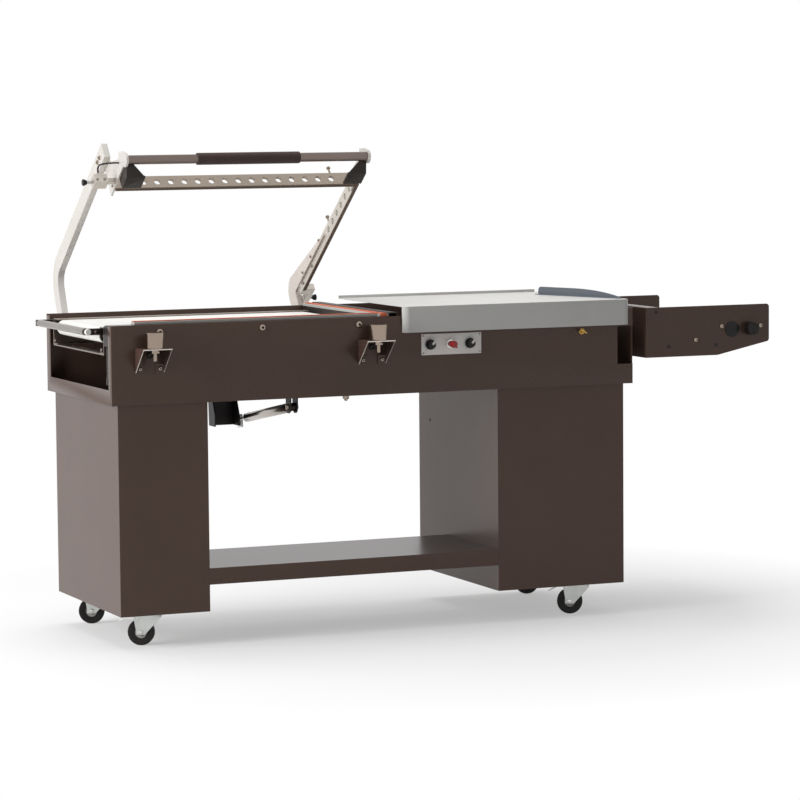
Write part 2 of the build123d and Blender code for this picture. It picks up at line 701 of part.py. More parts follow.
def conveyor_belt():
    middle = (DRIVE_ROLLER_X + IDLER_ROLLER_X) / 2
    standing = Plane(origin=(middle, BELT_FRONT, ROLLER_Z), x_dir=(1, 0, 0), z_dir=(0, -1, 0))
    outer = SlotCenterToCenter(ROLLER_CENTRES, ROLLER_DIAMETER + 2 * BELT_THICKNESS)
    inner = SlotCenterToCenter(ROLLER_CENTRES, ROLLER_DIAMETER)
    return extrude(standing * (outer - inner), amount=BELT_WIDTH, dir=(0, 1, 0))


def conveyor_roller(x, front_end):
    drum_front = BELT_FRONT - RAIL_MARGIN / 2
    drum_rear = BELT_REAR + RAIL_MARGIN / 2
    drum = rod_y(drum_front, drum_rear, x, ROLLER_Z, ROLLER_DIAMETER - 2 * CURVED_GAP)
    return drum + rod_y(front_end, REAR_RAIL, x, ROLLER_Z, ROLLER_SHAFT)


def drive_roller():
    return conveyor_roller(DRIVE_ROLLER_X, FRONT_RAIL - GEARBOX_DEPTH / 2)


def idler_roller():
    return conveyor_roller(IDLER_ROLLER_X, FRONT_RAIL)


def gearmotor():
    start = RAIL_START
    end = start + GEARBOX_LENGTH
    front = FRONT_RAIL - GEARBOX_DEPTH
    low = ROLLER_Z - GEARBOX_HEIGHT / 2
    gearbox = block(start, end, front, FRONT_RAIL, low, low + GEARBOX_HEIGHT)
    gearbox = fillet(gearbox.edges().filter_by(Axis.Y), GEARBOX_LENGTH / 9)
    bore = ROLLER_SHAFT + 2 * RUNNING_FIT
    gearbox -= rod_y(FRONT_RAIL - GEARBOX_DEPTH * 0.6, FRONT_RAIL, DRIVE_ROLLER_X, ROLLER_Z, bore)
    cover = MOTOR_DIAMETER * 1.06
    motor_y = FRONT_RAIL - cover / 2 - FACE_GAP
    middle = (start + end) / 2
    motor = rod_z(low - MOTOR_LENGTH, low, middle, motor_y, MOTOR_DIAMETER)
    fan_cover = rod_z(low - MOTOR_LENGTH, low - MOTOR_LENGTH * 0.8, middle, motor_y, cover)
    return gearbox + motor + fan_cover


def outfeed_brackets():
    brackets = []
    x = -OUTFEED_REACH
    top = RAIL_TOP - RAIL_WALL
    front = FRONT_RAIL + RAIL_FLANGE - OUTFEED_BLOCK
    for y in (front, REAR_RAIL):
        arm = block(
            x - OUTFEED_BLOCK / 2,
            RAIL_START + OUTFEED_LAP,
            y,
            y + OUTFEED_BLOCK,
            top - OUTFEED_BLOCK_HEIGHT,
            top,
        )
        arm -= rod_y(y, y + OUTFEED_BLOCK, x, OUTFEED_Z, OUTFEED_AXLE + 2 * RUNNING_FIT)
        brackets.append(arm)
    return brackets


def outfeed_roller():
    x = -OUTFEED_REACH
    front = FRONT_RAIL + RAIL_FLANGE - OUTFEED_BLOCK
    tube = rod_y(front + OUTFEED_BLOCK + FACE_GAP, REAR_RAIL - FACE_GAP, x, OUTFEED_Z, OUTFEED_DIAMETER)
    return tube + rod_y(front, REAR_RAIL + OUTFEED_BLOCK, x, OUTFEED_Z, OUTFEED_AXLE)


# Head pivot
def pivot_bearings():
    bearings = []
    left = LEFT_ARM_X + ARM_THICKNESS + BEARING_CLEARANCE
    right = RIGHT_ARM_X - BEARING_CLEARANCE - BEARING_WIDTH
    for start in (left, right):
        half = BEARING_BASE / 2
        housing = block(
            start,
            start + BEARING_WIDTH,
            CHASSIS_DEPTH,
            CHASSIS_DEPTH + BEARING_FLANGE,
            PIVOT_HEIGHT - half,
            PIVOT_HEIGHT + half,
        )
        housing += block(
            start,
            start + BEARING_WIDTH,
            CHASSIS_DEPTH,
            PIVOT_Y,
            PIVOT_HEIGHT - BEARING_RADIUS,
            PIVOT_HEIGHT + BEARING_RADIUS,
        )
        housing += rod_x(start, start + BEARING_WIDTH, PIVOT_Y, PIVOT_HEIGHT, 2 * BEARING_RADIUS)
        bore = PIVOT_SHAFT + 2 * RUNNING_FIT
        housing -= rod_x(start, start + BEARING_WIDTH, PIVOT_Y, PIVOT_HEIGHT, bore)
        bearings.append(housing)
    return bearings


def spring_lever():
    right = SPRING_X - EYE_PLATE / 2 - FACE_GAP
    left = right - LEVER_WIDTH
    rear_top = PIVOT_Y + LEVER_HUB
    flange = [
        (PIVOT_Y - LEVER_HUB, PIVOT_HEIGHT),
        (rear_top, PIVOT_HEIGHT),
        (SPRING_PIN_Y + LEVER_WIDTH / 2, SPRING_PIN_Z - LEVER_HUB),
        (SPRING_PIN_Y - LEVER_HUB / 2, SPRING_PIN_Z - LEVER_HUB),
        (SPRING_PIN_Y - LEVER_HUB / 2, SPRING_PIN_Z + LEVER_HUB),
        (PIVOT_Y - LEVER_HUB, CHASSIS_BOTTOM - LEVER_HUB),
    ]
    web = [
        (rear_top, PIVOT_HEIGHT),
        (SPRING_PIN_Y + LEVER_WIDTH / 2, SPRING_PIN_Z - LEVER_HUB),
        (SPRING_PIN_Y + LEVER_WIDTH / 2 - LEVER_WALL, SPRING_PIN_Z - LEVER_HUB),
        (rear_top - LEVER_WALL, PIVOT_HEIGHT),
    ]
    lever = outline_yz(flange, left, LEVER_WALL) + outline_yz(flange, right - LEVER_WALL, LEVER_WALL)
    lever += outline_yz(web, left, LEVER_WIDTH)
    lever += rod_x(left, right, PIVOT_Y, PIVOT_HEIGHT, 2 * LEVER_HUB)
    pin_end = SPRING_X + EYE_PLATE / 2 + ANCHOR_CHEEK
    lever += rod_x(right - LEVER_WALL, pin_end, SPRING_PIN_Y, SPRING_PIN_Z, SPRING_PIN)
    return lever


def pivot_shaft():
    start = LEFT_ARM_X - PIVOT_SHAFT_STUB
    end = RIGHT_ARM_X + ARM_THICKNESS + PIVOT_SHAFT_STUB
    shaft = rod_x(start, end, PIVOT_Y, PIVOT_HEIGHT, PIVOT_SHAFT)
    return shaft + spring_lever()


# Head spring
def gas_spring_cylinder():
    tube_start = SPRING_NECK_LENGTH
    tube_length = SPRING_TUBE_END - tube_start
    tube = SPRING_LINE * Pos(0, 0, tube_start + tube_length / 2) * Cylinder(SPRING_TUBE / 2, tube_length)
    eye = SPRING_LINE * Rot(Y=90) * Cylinder(SPRING_NECK, SPRING_EYE_WIDTH)
    neck = SPRING_LINE * Pos(0, 0, tube_start / 2) * Cylinder(SPRING_NECK / 2, tube_start)
    bore_radius = SPRING_PIN / 2 + RUNNING_FIT
    bore = SPRING_LINE * Rot(Y=90) * Cylinder(bore_radius, SPRING_EYE_WIDTH * 2)
    bore_start = 2 * tube_start
    bore_length = SPRING_TUBE_END - bore_start
    rod_bore = SPRING_LINE * Pos(0, 0, bore_start + bore_length / 2)
    rod_bore = rod_bore * Cylinder(SPRING_ROD / 2 + RUNNING_FIT, bore_length)
    return tube + neck + eye - bore - rod_bore


def gas_spring_rod():
    slot = SPRING_PIN + 2 * EYE_SLOT_PLAY
    wall = SPRING_PIN / 2
    plate_width = slot + 2 * wall
    plate_height = plate_width + EYE_SLOT_TRAVEL
    eye = SPRING_LINE * Pos(0, EYE_SLOT_TRAVEL / 2, SPRING_LENGTH)
    plate = eye * Box(EYE_PLATE, plate_height, plate_width)
    opening = eye * Rot(Y=90) * Rot(Z=90)
    opening = opening * extrude(SlotCenterToCenter(EYE_SLOT_TRAVEL, slot), amount=EYE_PLATE, both=True)
    rod_start = SPRING_TUBE_END - SPRING_STROKE - SPRING_TUBE
    rod_end = SPRING_LENGTH - plate_width / 2
    rod = SPRING_LINE * Pos(0, 0, (rod_start + rod_end) / 2) * Cylinder(SPRING_ROD / 2, rod_end - rod_start)
    return plate - opening + rod


# Head, built closed and then raised
def left_arm():
    bend_y = PIVOT_Y - (ARM_LEVEL - PIVOT_HEIGHT) / tan(radians(ARM_LEAN))
    centre = FilletPolyline(
        (PIVOT_Y, PIVOT_HEIGHT), (bend_y, ARM_LEVEL), (ARM_FRONT, ARM_LEVEL), radius=ARM_BEND
    )
    profile = trace(centre, ARM_WIDTH) + Pos(PIVOT_Y, PIVOT_HEIGHT) * Circle(ARM_HUB)
    profile -= Pos(PIVOT_Y, PIVOT_HEIGHT) * Circle(PIVOT_SHAFT / 2)
    return extrude(Plane.YZ.offset(LEFT_ARM_X) * profile, amount=ARM_THICKNESS, dir=(1, 0, 0))


def right_arm():
    half = ARM_WIDTH / 2
    low = BAR_TOP - RIGHT_ARM_LAP_DROP
    neck = PIVOT_Y - RIGHT_ARM_NECK
    points = [
        (PIVOT_Y - half, PIVOT_HEIGHT),
        (PIVOT_Y + half, PIVOT_HEIGHT),
        (PIVOT_Y + RIGHT_ARM_SHOULDER, RIGHT_ARM_TOP),
        (RIGHT_ARM_NOSE, low + RIGHT_ARM_NOSE_RISE),
        (RIGHT_ARM_NOSE, low),
        (neck, low),
    ]
    profile = make_face(Polyline(*points, close=True))
    shoulder = profile.vertices().sort_by_distance((PIVOT_Y + RIGHT_ARM_SHOULDER, RIGHT_ARM_TOP))[0]
    profile = fillet(shoulder, ARM_WIDTH)
    profile += Pos(PIVOT_Y, PIVOT_HEIGHT) * Circle(ARM_HUB)
    profile -= Pos(PIVOT_Y, PIVOT_HEIGHT) * Circle(PIVOT_SHAFT / 2)
    arm = extrude(Plane.YZ.offset(RIGHT_ARM_X) * profile, amount=ARM_THICKNESS, dir=(1, 0, 0))
    return arm - block(SIDE_BAR_LEFT, RIGHT_ARM_X + ARM_THICKNESS, RIGHT_ARM_NOSE, neck, low, BAR_TOP)


def hole_places(start, end):
    count = int((end - start) // BAR_HOLE_PITCH) + 1
    return [start + index * BAR_HOLE_PITCH for index in range(count)]


def front_seal_bar():
    front = FRONT_SEAL_Y - BAR_THICKNESS / 2
    rear = FRONT_SEAL_Y + BAR_THICKNESS / 2
    bar = block(HANDLE_START, RIGHT_END_PLATE_X, front, rear, BAR_BOTTOM, BAR_TOP)
    middle = (BAR_BOTTOM + BAR_TOP) / 2
    for x in hole_places(HANDLE_START + BAR_HOLE_START, RIGHT_END_PLATE_X - BAR_HOLE_MARGIN):
        bar -= rod_y(front, rear, x, middle, BAR_HOLE)
    return bar


def side_seal_bar():
    left = SIDE_BAR_LEFT
    right = left + BAR_THICKNESS
    front = FRONT_SEAL_Y - BAR_THICKNESS / 2
    bar = block(left, right, front, SIDE_BAR_END, BAR_BOTTOM, BAR_TOP)
    middle = (BAR_BOTTOM + BAR_TOP) / 2
    for y in hole_places(front + BAR_HOLE_MARGIN, RIGHT_ARM_NOSE):
        bar -= rod_x(left, right, y, middle, BAR_HOLE)
    return bar


def seal_band():
    front = FRONT_SEAL_Y - BAR_THICKNESS / 2
    rear = FRONT_SEAL_Y + BAR_THICKNESS / 2
    left = SIDE_BAR_LEFT
    right = left + BAR_THICKNESS
    band = block(HANDLE_START, right, front, rear, BAND_BOTTOM, BAR_BOTTOM)
    band += block(left, right, front, SIDE_BAR_END, BAND_BOTTOM, BAR_BOTTOM)
    half = WIRE_WIDTH / 2
    band += block(HANDLE_START, right, FRONT_SEAL_Y - half, FRONT_SEAL_Y + half, WIRE_BOTTOM, BAND_BOTTOM)
    band += block(SIDE_SEAL_X - half, SIDE_SEAL_X + half, front, SIDE_BAR_END, WIRE_BOTTOM, BAND_BOTTOM)
    return band


def end_plate(start, upper):
    nose_y = -HANDLE_REACH
    crest = END_PLATE_CREST
    points = [
        (nose_y, HANDLE_HEIGHT),
        (nose_y + END_PLATE_NOSE, BAR_BOTTOM),
        (END_PLATE_DEPTH, BAR_BOTTOM),
        *upper,
        (nose_y + 1.5 * crest, BAR_TOP),
        (nose_y + crest, BAR_TOP + crest / 2),
        (nose_y, HANDLE_HEIGHT + crest),
        (nose_y - END_PLATE_NOSE, HANDLE_HEIGHT),
    ]
    profile = make_face(Polyline(*points, close=True))
    profile += Pos(nose_y, HANDLE_HEIGHT) * Circle(END_PLATE_NOSE)
    return extrude(Plane.YZ.offset(start) * profile, amount=END_PLATE, dir=(1, 0, 0))


def head_end_plates():
    arm_top = ARM_LEVEL + ARM_WIDTH / 2
    arm_low = ARM_LEVEL - ARM_WIDTH / 2
    arm_lap = END_PLATE_DEPTH - ARM_WIDTH
    left_upper = [(END_PLATE_DEPTH, arm_top), (arm_lap, arm_top), (arm_lap, arm_low)]
    left = end_plate(LEFT_END_PLATE_X, left_upper)
    right = end_plate(RIGHT_END_PLATE_X, [(END_PLATE_DEPTH, BAR_TOP)])
    return [left, right]


def corner_bracket(outer, inward):
    front = -MAGNET_REACH - ARMATURE_LENGTH / 2
    top = ARMATURE_BOTTOM + ARMATURE_THICKNESS
    inner = outer + inward * ARMATURE_WIDTH
    plate = block(*sorted((outer, inner)), front, front + ARMATURE_LENGTH, ARMATURE_BOTTOM, top)
    lean = Vector(0, -HANDLE_REACH - front, HANDLE_HEIGHT - ARMATURE_BOTTOM)
    reach = lean.length - HANDLE_DIAMETER / 2 - RUNNING_FIT
    across = lean.cross(Vector(1, 0, 0)).normalized()
    leaning = Plane(origin=(0, front, ARMATURE_BOTTOM), x_dir=(1, 0, 0), z_dir=lean.cross(Vector(-1, 0, 0)))
    web = Polyline(
        (outer, 0),
        (inner, 0),
        (outer + inward * GUSSET_TOP_WIDTH, reach),
        (outer, reach),
        close=True,
    )
    gusset = extrude(make_face(leaning * web), amount=GUSSET_THICKNESS, dir=across)
    tip = Vector(0, front, ARMATURE_BOTTOM) + lean.normalized() * reach
    rear = front + ARMATURE_LENGTH
    side = [
        (front, ARMATURE_BOTTOM),
        (rear, ARMATURE_BOTTOM),
        (BRACKET_WEB_REAR, top),
        (BRACKET_WEB_REAR, BRACKET_WEB_TOP),
        (-HANDLE_REACH + HANDLE_DIAMETER, BRACKET_WEB_TOP),
        (tip.Y, tip.Z),
    ]
    web_start = min(outer, outer + inward * GUSSET_THICKNESS)
    return plate + gusset + outline_yz(side, web_start, GUSSET_THICKNESS)


def corner_brackets():
    return [corner_bracket(LEFT_END_PLATE_X + END_PLATE, 1), corner_bracket(RIGHT_END_PLATE_X, -1)]


def handle_tube():
    bore = HANDLE_DIAMETER - 2 * HANDLE_WALL
    outside = rod_x(HANDLE_START, RIGHT_END_PLATE_X, -HANDLE_REACH, HANDLE_HEIGHT, HANDLE_DIAMETER)
    return outside - rod_x(HANDLE_START, RIGHT_END_PLATE_X, -HANDLE_REACH, HANDLE_HEIGHT, bore)


def handle_grip():
    middle = (HANDLE_START + RIGHT_END_PLATE_X) / 2
    start = middle - GRIP_LENGTH / 2
    sleeve = rod_x(start, start + GRIP_LENGTH, -HANDLE_REACH, HANDLE_HEIGHT, GRIP_DIAMETER)
    sleeve = fillet(sleeve.edges(), (GRIP_DIAMETER - HANDLE_DIAMETER) / 4)
    return sleeve - rod_x(start, start + GRIP_LENGTH, -HANDLE_REACH, HANDLE_HEIGHT, HANDLE_DIAMETER)


# Each wire clamp's face towards its knob, the way its knob faces, and the knob's axis
LEFT_CLAMP_FACE = LEFT_END_PLATE_X - TERMINAL_STANDOFF - TERMINAL_LENGTH
LEFT_KNOB_AXIS = (TERMINAL_FRONT + TERMINAL_DEPTH * 0.75, TERMINAL_BOTTOM + TERMINAL_HEIGHT * 0.6)
REAR_CLAMP_FACE = SIDE_BAR_LEFT + REAR_TERMINAL_LENGTH
REAR_LUG_END = SIDE_BAR_END + REAR_TERMINAL_DEPTH + REAR_LUG_DEPTH
REAR_KNOB_AXIS = (REAR_LUG_END - TENSION_KNOB * 0.75, BAR_BOTTOM + REAR_TERMINAL_HEIGHT / 2)


def wire_terminals():
    seat = TENSION_SHAFT + 2 * RUNNING_FIT
    start = LEFT_CLAMP_FACE
    end = start + TERMINAL_LENGTH
    rear = TERMINAL_FRONT + TERMINAL_DEPTH
    left = block(start, end, TERMINAL_FRONT, rear, TERMINAL_BOTTOM, TERMINAL_BOTTOM + TERMINAL_HEIGHT)
    left -= rod_x(start, start + TENSION_SHAFT_SEAT, *LEFT_KNOB_AXIS, seat)
    bar_top = TERMINAL_BOTTOM + TERMINAL_HEIGHT
    left += block(end, LEFT_END_PLATE_X, rear - TERMINAL_BAR, rear, bar_top - TERMINAL_BAR, bar_top)
    back = SIDE_BAR_END + REAR_TERMINAL_DEPTH
    high = BAR_BOTTOM + REAR_TERMINAL_HEIGHT
    side = block(SIDE_BAR_LEFT, REAR_CLAMP_FACE, SIDE_BAR_END, back, BAR_BOTTOM, high)
    side += block(REAR_CLAMP_FACE - REAR_LUG_LENGTH, REAR_CLAMP_FACE, back, REAR_LUG_END, BAR_BOTTOM, high)
    side -= rod_x(REAR_CLAMP_FACE - TENSION_SHAFT_SEAT, REAR_CLAMP_FACE, *REAR_KNOB_AXIS, seat)
    return [left, side]


def tension_knob(face, outward, axis, shaft_length):
    inner = face - outward * (TENSION_SHAFT_SEAT - FACE_GAP)
    knob_start = face + outward * shaft_length
    knob_end = knob_start + outward * TENSION_KNOB_HEIGHT
    shaft = rod_x(*sorted((inner, knob_start)), *axis, TENSION_SHAFT)
    head = rod_x(*sorted((knob_start, knob_end)), *axis, TENSION_KNOB)
    return shaft + fillet(head.edges(), TENSION_KNOB_HEIGHT / 5)


def left_tension_knob():
    return tension_knob(LEFT_CLAMP_FACE, -1, LEFT_KNOB_AXIS, TENSION_SHAFT_LENGTH)


def rear_tension_knob():
    return tension_knob(REAR_CLAMP_FACE, 1, REAR_KNOB_AXIS, REAR_SHAFT_LENGTH)


def terminal_lead():
    x = LEFT_CLAMP_FACE + TERMINAL_LENGTH / 2
    y = TERMINAL_FRONT + TERMINAL_DEPTH * 0.4
    low = TERMINAL_BOTTOM + TERMINAL_HEIGHT
    end_y = y - LEAD_REACH
    end_z = low + LEAD_RISE - LEAD_FALL
    route = FilletPolyline(
        (x, y, low),
        (x, y, low + LEAD_RISE),
        (x, end_y, end_z),
        (LEFT_END_PLATE_X, end_y, end_z),
        radius=LEAD_BEND,
    )
    section = Plane(origin=route @ 0, z_dir=route % 0) * Circle(LEAD_DIAMETER / 2)
    return sweep(section, path=route)


# Film unwind
def unwind_outline(length, nose_length, nose_rise):
    start = UNWIND_START
    end = start + length
    return [
        (start, UNWIND_BOTTOM),
        (end - nose_length, UNWIND_BOTTOM),
        (end, UNWIND_BOTTOM + nose_rise),
        (end, UNWIND_TOP),
        (start, UNWIND_TOP),
    ]


def rounded_plate(points, y0, rounded):
    plate = outline_xz(points, y0, UNWIND_SHEET)
    for x, z in rounded:
        edge = plate.edges().filter_by(Axis.Y).sort_by_distance((x, y0, z))[0]
        plate = fillet(edge, UNWIND_CORNER)
    return plate


def cradle_axles():
    near = UNWIND_START + NEAR_CRADLE_OFFSET
    return {"near": near, "far": near + CRADLE_SPACING}


def unwind_frame():
    front_points = unwind_outline(UNWIND_LENGTH, UNWIND_NOSE_LENGTH, UNWIND_NOSE_RISE)
    rear_points = unwind_outline(UNWIND_REAR_LENGTH, UNWIND_NOSE_LENGTH, UNWIND_NOSE_RISE)
    rear_y = UNWIND_DEPTH - UNWIND_SHEET
    frame = rounded_plate(front_points, 0, front_points[2:4])
    frame += rounded_plate(rear_points, rear_y, rear_points[2:4])
    start = UNWIND_START
    frame += block(start, start + UNWIND_SHEET, 0, UNWIND_DEPTH, UNWIND_BOTTOM, UNWIND_TOP)
    frame += block(start, start + UNWIND_FLANGE, 0, UNWIND_DEPTH, UNWIND_TOP - UNWIND_SHEET, UNWIND_TOP)
    for x in cradle_axles().values():
        frame -= rod_y(0, UNWIND_DEPTH, x, CRADLE_Z, CRADLE_AXLE + 2 * RUNNING_FIT)
    knob_x = UNWIND_END - UNWIND_KNOB_INSET
    frame -= rod_y(0, UNWIND_SHEET, knob_x, UNWIND_KNOB_Z, UNWIND_KNOB_STEM + 2 * RUNNING_FIT)
    return frame


def unwind_spacers():
    spacers = []
    low = UNWIND_BOTTOM + (UNWIND_HEIGHT - SPACER_HEIGHT) / 2
    for start in (SPACER_INSET, UNWIND_DEPTH - SPACER_INSET - SPACER_DEPTH):
        end = start + SPACER_DEPTH
        tube = block(CHASSIS_LENGTH, UNWIND_START, start, end, low, low + SPACER_HEIGHT)
        bore = block(
            CHASSIS_LENGTH,
            UNWIND_START,
            start + SPACER_WALL,
            end - SPACER_WALL,
            low + SPACER_WALL,
            low + SPACER_HEIGHT - SPACER_WALL,
        )
        spacers.append(tube - bore)
    return spacers


def cradle_roller(x):
    front = UNWIND_SHEET + FACE_GAP
    rear = UNWIND_DEPTH - UNWIND_SHEET - FACE_GAP
    return rod_y(front, rear, x, CRADLE_Z, CRADLE_DIAMETER) + rod_y(0, UNWIND_DEPTH, x, CRADLE_Z, CRADLE_AXLE)


def near_cradle_roller():
    return cradle_roller(cradle_axles()["near"])


def far_cradle_roller():
    return cradle_roller(cradle_axles()["far"])


def unwind_knob():
    x = UNWIND_END - UNWIND_KNOB_INSET
    base_front = -FACE_GAP - UNWIND_KNOB_BASE_HEIGHT
    stem = rod_y(base_front, UNWIND_SHEET + UNWIND_KNOB_BASE_HEIGHT, x, UNWIND_KNOB_Z, UNWIND_KNOB_STEM)
    base = rod_y(base_front, -FACE_GAP, x, UNWIND_KNOB_Z, UNWIND_KNOB_BASE)
    grip = rod_y(base_front - UNWIND_KNOB_HEIGHT, base_front, x, UNWIND_KNOB_Z, UNWIND_KNOB)
    grip = fillet(grip.edges(), UNWIND_KNOB_HEIGHT / 8)
    return stem + base + grip


# Casters, each built about its swivel axis with the wheel trailing along +X, then turned and placed
CASTER_PLACES = {
    "front_left": (LEFT_CASTER_X, FRONT_CASTER_Y, 152.0),
    "rear_left": (LEFT_CASTER_X, REAR_CASTER_Y, 158.0),
    "front_right": (RIGHT_CASTER_X, FRONT_CASTER_Y, 153.0),
    "rear_right": (RIGHT_CASTER_X, REAR_CASTER_Y, -18.0),
}
WHEEL_RADIUS = WHEEL_DIAMETER / 2
FORK_INSIDE = WHEEL_WIDTH / 2 + FORK_GAP
PLATE_BOTTOM_Z = PEDESTAL_BOTTOM - CASTER_PLATE
CROWN_TOP = PLATE_BOTTOM_Z - FACE_GAP - RACE_HEIGHT


def caster_place(name):
    x, y, turn = CASTER_PLACES[name]
    return Pos(x, y, 0) * Rot(Z=turn)


def caster_plates():
    plates = []
    for x, y, turn in CASTER_PLACES.values():
        middle = Pos(x, y, PLATE_BOTTOM_Z + CASTER_PLATE / 2)
        plate = middle * Box(CASTER_PLATE_LENGTH, CASTER_PLATE_WIDTH, CASTER_PLATE)
        bore = rod_z(PLATE_BOTTOM_Z, PEDESTAL_BOTTOM, x, y, CASTER_STEM + 2 * RUNNING_FIT)
        plates.append(plate - bore)
    return plates


def caster_fork():
    outside = FORK_INSIDE + FORK_SHEET
    crown = block(-FORK_CROWN, CASTER_TRAIL, -outside, outside, CROWN_TOP - FORK_SHEET, CROWN_TOP)
    race = rod_z(CROWN_TOP, CROWN_TOP + RACE_HEIGHT, 0, 0, 2 * FORK_CROWN)
    stem = rod_z(CROWN_TOP, PEDESTAL_BOTTOM, 0, 0, CASTER_STEM)
    boss = 1.6 * WHEEL_AXLE
    cheek = [
        (-FORK_CROWN, CROWN_TOP),
        (-FORK_CROWN, CROWN_TOP - FORK_SHEET),
        (CASTER_TRAIL - boss, WHEEL_RADIUS - boss / 2),
        (CASTER_TRAIL + boss, WHEEL_RADIUS - boss / 2),
        (CASTER_TRAIL + boss, WHEEL_RADIUS + boss / 2),
        (CASTER_TRAIL + 2 * BRAKE_PIN_REACH, CROWN_TOP),
    ]
    fork = crown + race + stem
    fork += outline_xz(cheek, -FORK_INSIDE - FORK_SHEET, FORK_SHEET)
    fork += outline_xz(cheek, FORK_INSIDE, FORK_SHEET)
    half_axle = FORK_INSIDE + 2 * FORK_SHEET
    pin_x = CASTER_TRAIL + BRAKE_PIN_REACH
    pin_z = WHEEL_DIAMETER + BRAKE_PIN_LIFT
    fork -= rod_y(-half_axle, half_axle, pin_x, pin_z, BRAKE_PIN + 2 * RUNNING_FIT)
    fork += rod_y(-half_axle, half_axle, CASTER_TRAIL, WHEEL_RADIUS, WHEEL_AXLE)
    return fork


def caster_wheel():
    wheel = rod_y(-WHEEL_WIDTH / 2, WHEEL_WIDTH / 2, CASTER_TRAIL, WHEEL_RADIUS, WHEEL_DIAMETER)
    wheel = chamfer(wheel.edges(), HUB_RECESS)
    dish = WHEEL_DIAMETER - 2 * TREAD_DEPTH
    hub = 2.6 * WHEEL_AXLE
    for start in (-WHEEL_WIDTH / 2, WHEEL_WIDTH / 2 - HUB_RECESS):
        ring = rod_y(start, start + HUB_RECESS, CASTER_TRAIL, WHEEL_RADIUS, dish)
        ring -= rod_y(start, start + HUB_RECESS, CASTER_TRAIL, WHEEL_RADIUS, hub)
        wheel -= ring
    return wheel - rod_y(-WHEEL_WIDTH, WHEEL_WIDTH, CASTER_TRAIL, WHEEL_RADIUS, WHEEL_AXLE + 2 * RUNNING_FIT)


def brake_lever():
    pin_x = CASTER_TRAIL + BRAKE_PIN_REACH
    pin_z = WHEEL_DIAMETER + BRAKE_PIN_LIFT
    half = FORK_INSIDE - FACE_GAP
    top = pin_z + BRAKE_PIN / 2
    knee = pin_x + BRAKE_LENGTH / 2
    end = pin_x + BRAKE_LENGTH
    pedal = [
        (pin_x, top),
        (knee, top),
        (end, top - BRAKE_DROP),
        (end, top - BRAKE_DROP - BRAKE_SHEET),
        (knee, top - BRAKE_SHEET),
        (pin_x, top - BRAKE_SHEET),
    ]
    half_pin = FORK_INSIDE + FORK_SHEET
    return outline_xz(pedal, -half, 2 * half) + rod_y(-half_pin, half_pin, pin_x, pin_z, BRAKE_PIN)


NODES = {
    "left_pedestal": left_pedestal(),
    "right_pedestal": right_pedestal(),
    "lower_shelf": lower_shelf(),
    "front_panel": front_panel(),
    "rear_panel": rear_panel(),
    "left_end_panel": left_end_panel(),
    "right_end_panel": right_end_panel(),
    "chassis_floor": chassis_floor(),
    "side_rail": side_rail(),
    "seal_beds": seal_beds(),
    "seal_pads": seal_pads(),
    "product_tray": product_tray(),
    "film_guide_wing": film_guide_wing(),
    "control_plate": control_plate(),
    "left_dial": left_dial(),
    "right_dial": right_dial(),
    "mode_switch": mode_switch(),
    "magnet_brackets": magnet_brackets(),
    "hold_down_magnets": hold_down_magnets(),
    "conveyor_frame": conveyor_frame(),
    "conveyor_bed": conveyor_bed(),
    "conveyor_belt": conveyor_belt(),
    "drive_roller": drive_roller(),
    "idler_roller": idler_roller(),
    "gearmotor": gearmotor(),
    "outfeed_brackets": outfeed_brackets(),
    "outfeed_roller": outfeed_roller(),
    "pivot_bearings": pivot_bearings(),
    "pivot_shaft": pivot_shaft(),
    "gas_spring_cylinder": gas_spring_cylinder(),
    "gas_spring_rod": gas_spring_rod(),
    "unwind_frame": unwind_frame(),
    "unwind_spacers": unwind_spacers(),
    "near_cradle_roller": near_cradle_roller(),
    "far_cradle_roller": far_cradle_roller(),
    "unwind_knob": unwind_knob(),
    "caster_plates": caster_plates(),
}
HEAD = {
    "left_arm": left_arm(),
    "right_arm": right_arm(),
    "front_seal_bar": front_seal_bar(),
    "side_seal_bar": side_seal_bar(),
    "seal_band": seal_band(),
    "head_end_plates": head_end_plates(),
    "corner_brackets": corner_brackets(),
    "handle_tube": handle_tube(),
    "handle_grip": handle_grip(),
    "wire_terminals": wire_terminals(),
    "left_tension_knob": left_tension_knob(),
    "rear_tension_knob": rear_tension_knob(),
    "terminal_lead": terminal_lead(),
}
for name, shape in HEAD.items():
    NODES[name] = [RAISED * piece for piece in shape] if isinstance(shape, list) else RAISED * shape
for name in CASTER_PLACES:
    NODES[name + "_fork"] = caster_place(name) * caster_fork()
    NODES[name + "_wheel"] = caster_place(name) * caster_wheel()
for name in ("front_left", "front_right"):
    NODES[name + "_brake"] = caster_place(name) * brake_lever()

# The origin is on the floor, under the middle of the whole machine with its head raised
pieces = [piece for shape in NODES.values() for piece in (shape if isinstance(shape, list) else [shape])]
extent = Compound(children=[copy for copy in pieces]).bounding_box()
ORIGIN = ((extent.min.X + extent.max.X) / 2, (extent.min.Y + extent.max.Y) / 2, extent.min.Z)
TO_ORIGIN = Pos(-ORIGIN[0], -ORIGIN[1], -ORIGIN[2])

for name, shape in NODES.items():
    group = shape if isinstance(shape, list) else [shape]
    solids = [TO_ORIGIN * solid for piece in group for solid in piece.solids()]
    node = solids[0] if len(solids) == 1 else Compound(children=solids)
    node.label = name
    export_step(node, f"parts/{name}.step")

print("nodes", len(NODES), "origin", [round(value, 3) for value in ORIGIN])
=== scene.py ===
# %% [markdown]
# # L bar sealer
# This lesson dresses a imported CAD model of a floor-standing L bar sealer. The machine folds film round
# a product and seals two sides at once with an L-shaped hot bar. The CAD model gives every piece with a
# real size. Blender adds rounded edges, fasteners, finishes, light and a camera.

# %% Load the frame
import json
from math import atan2, cos, hypot, pi, radians, sin, sqrt

import bmesh
import bpy
from mathutils import Matrix, Vector


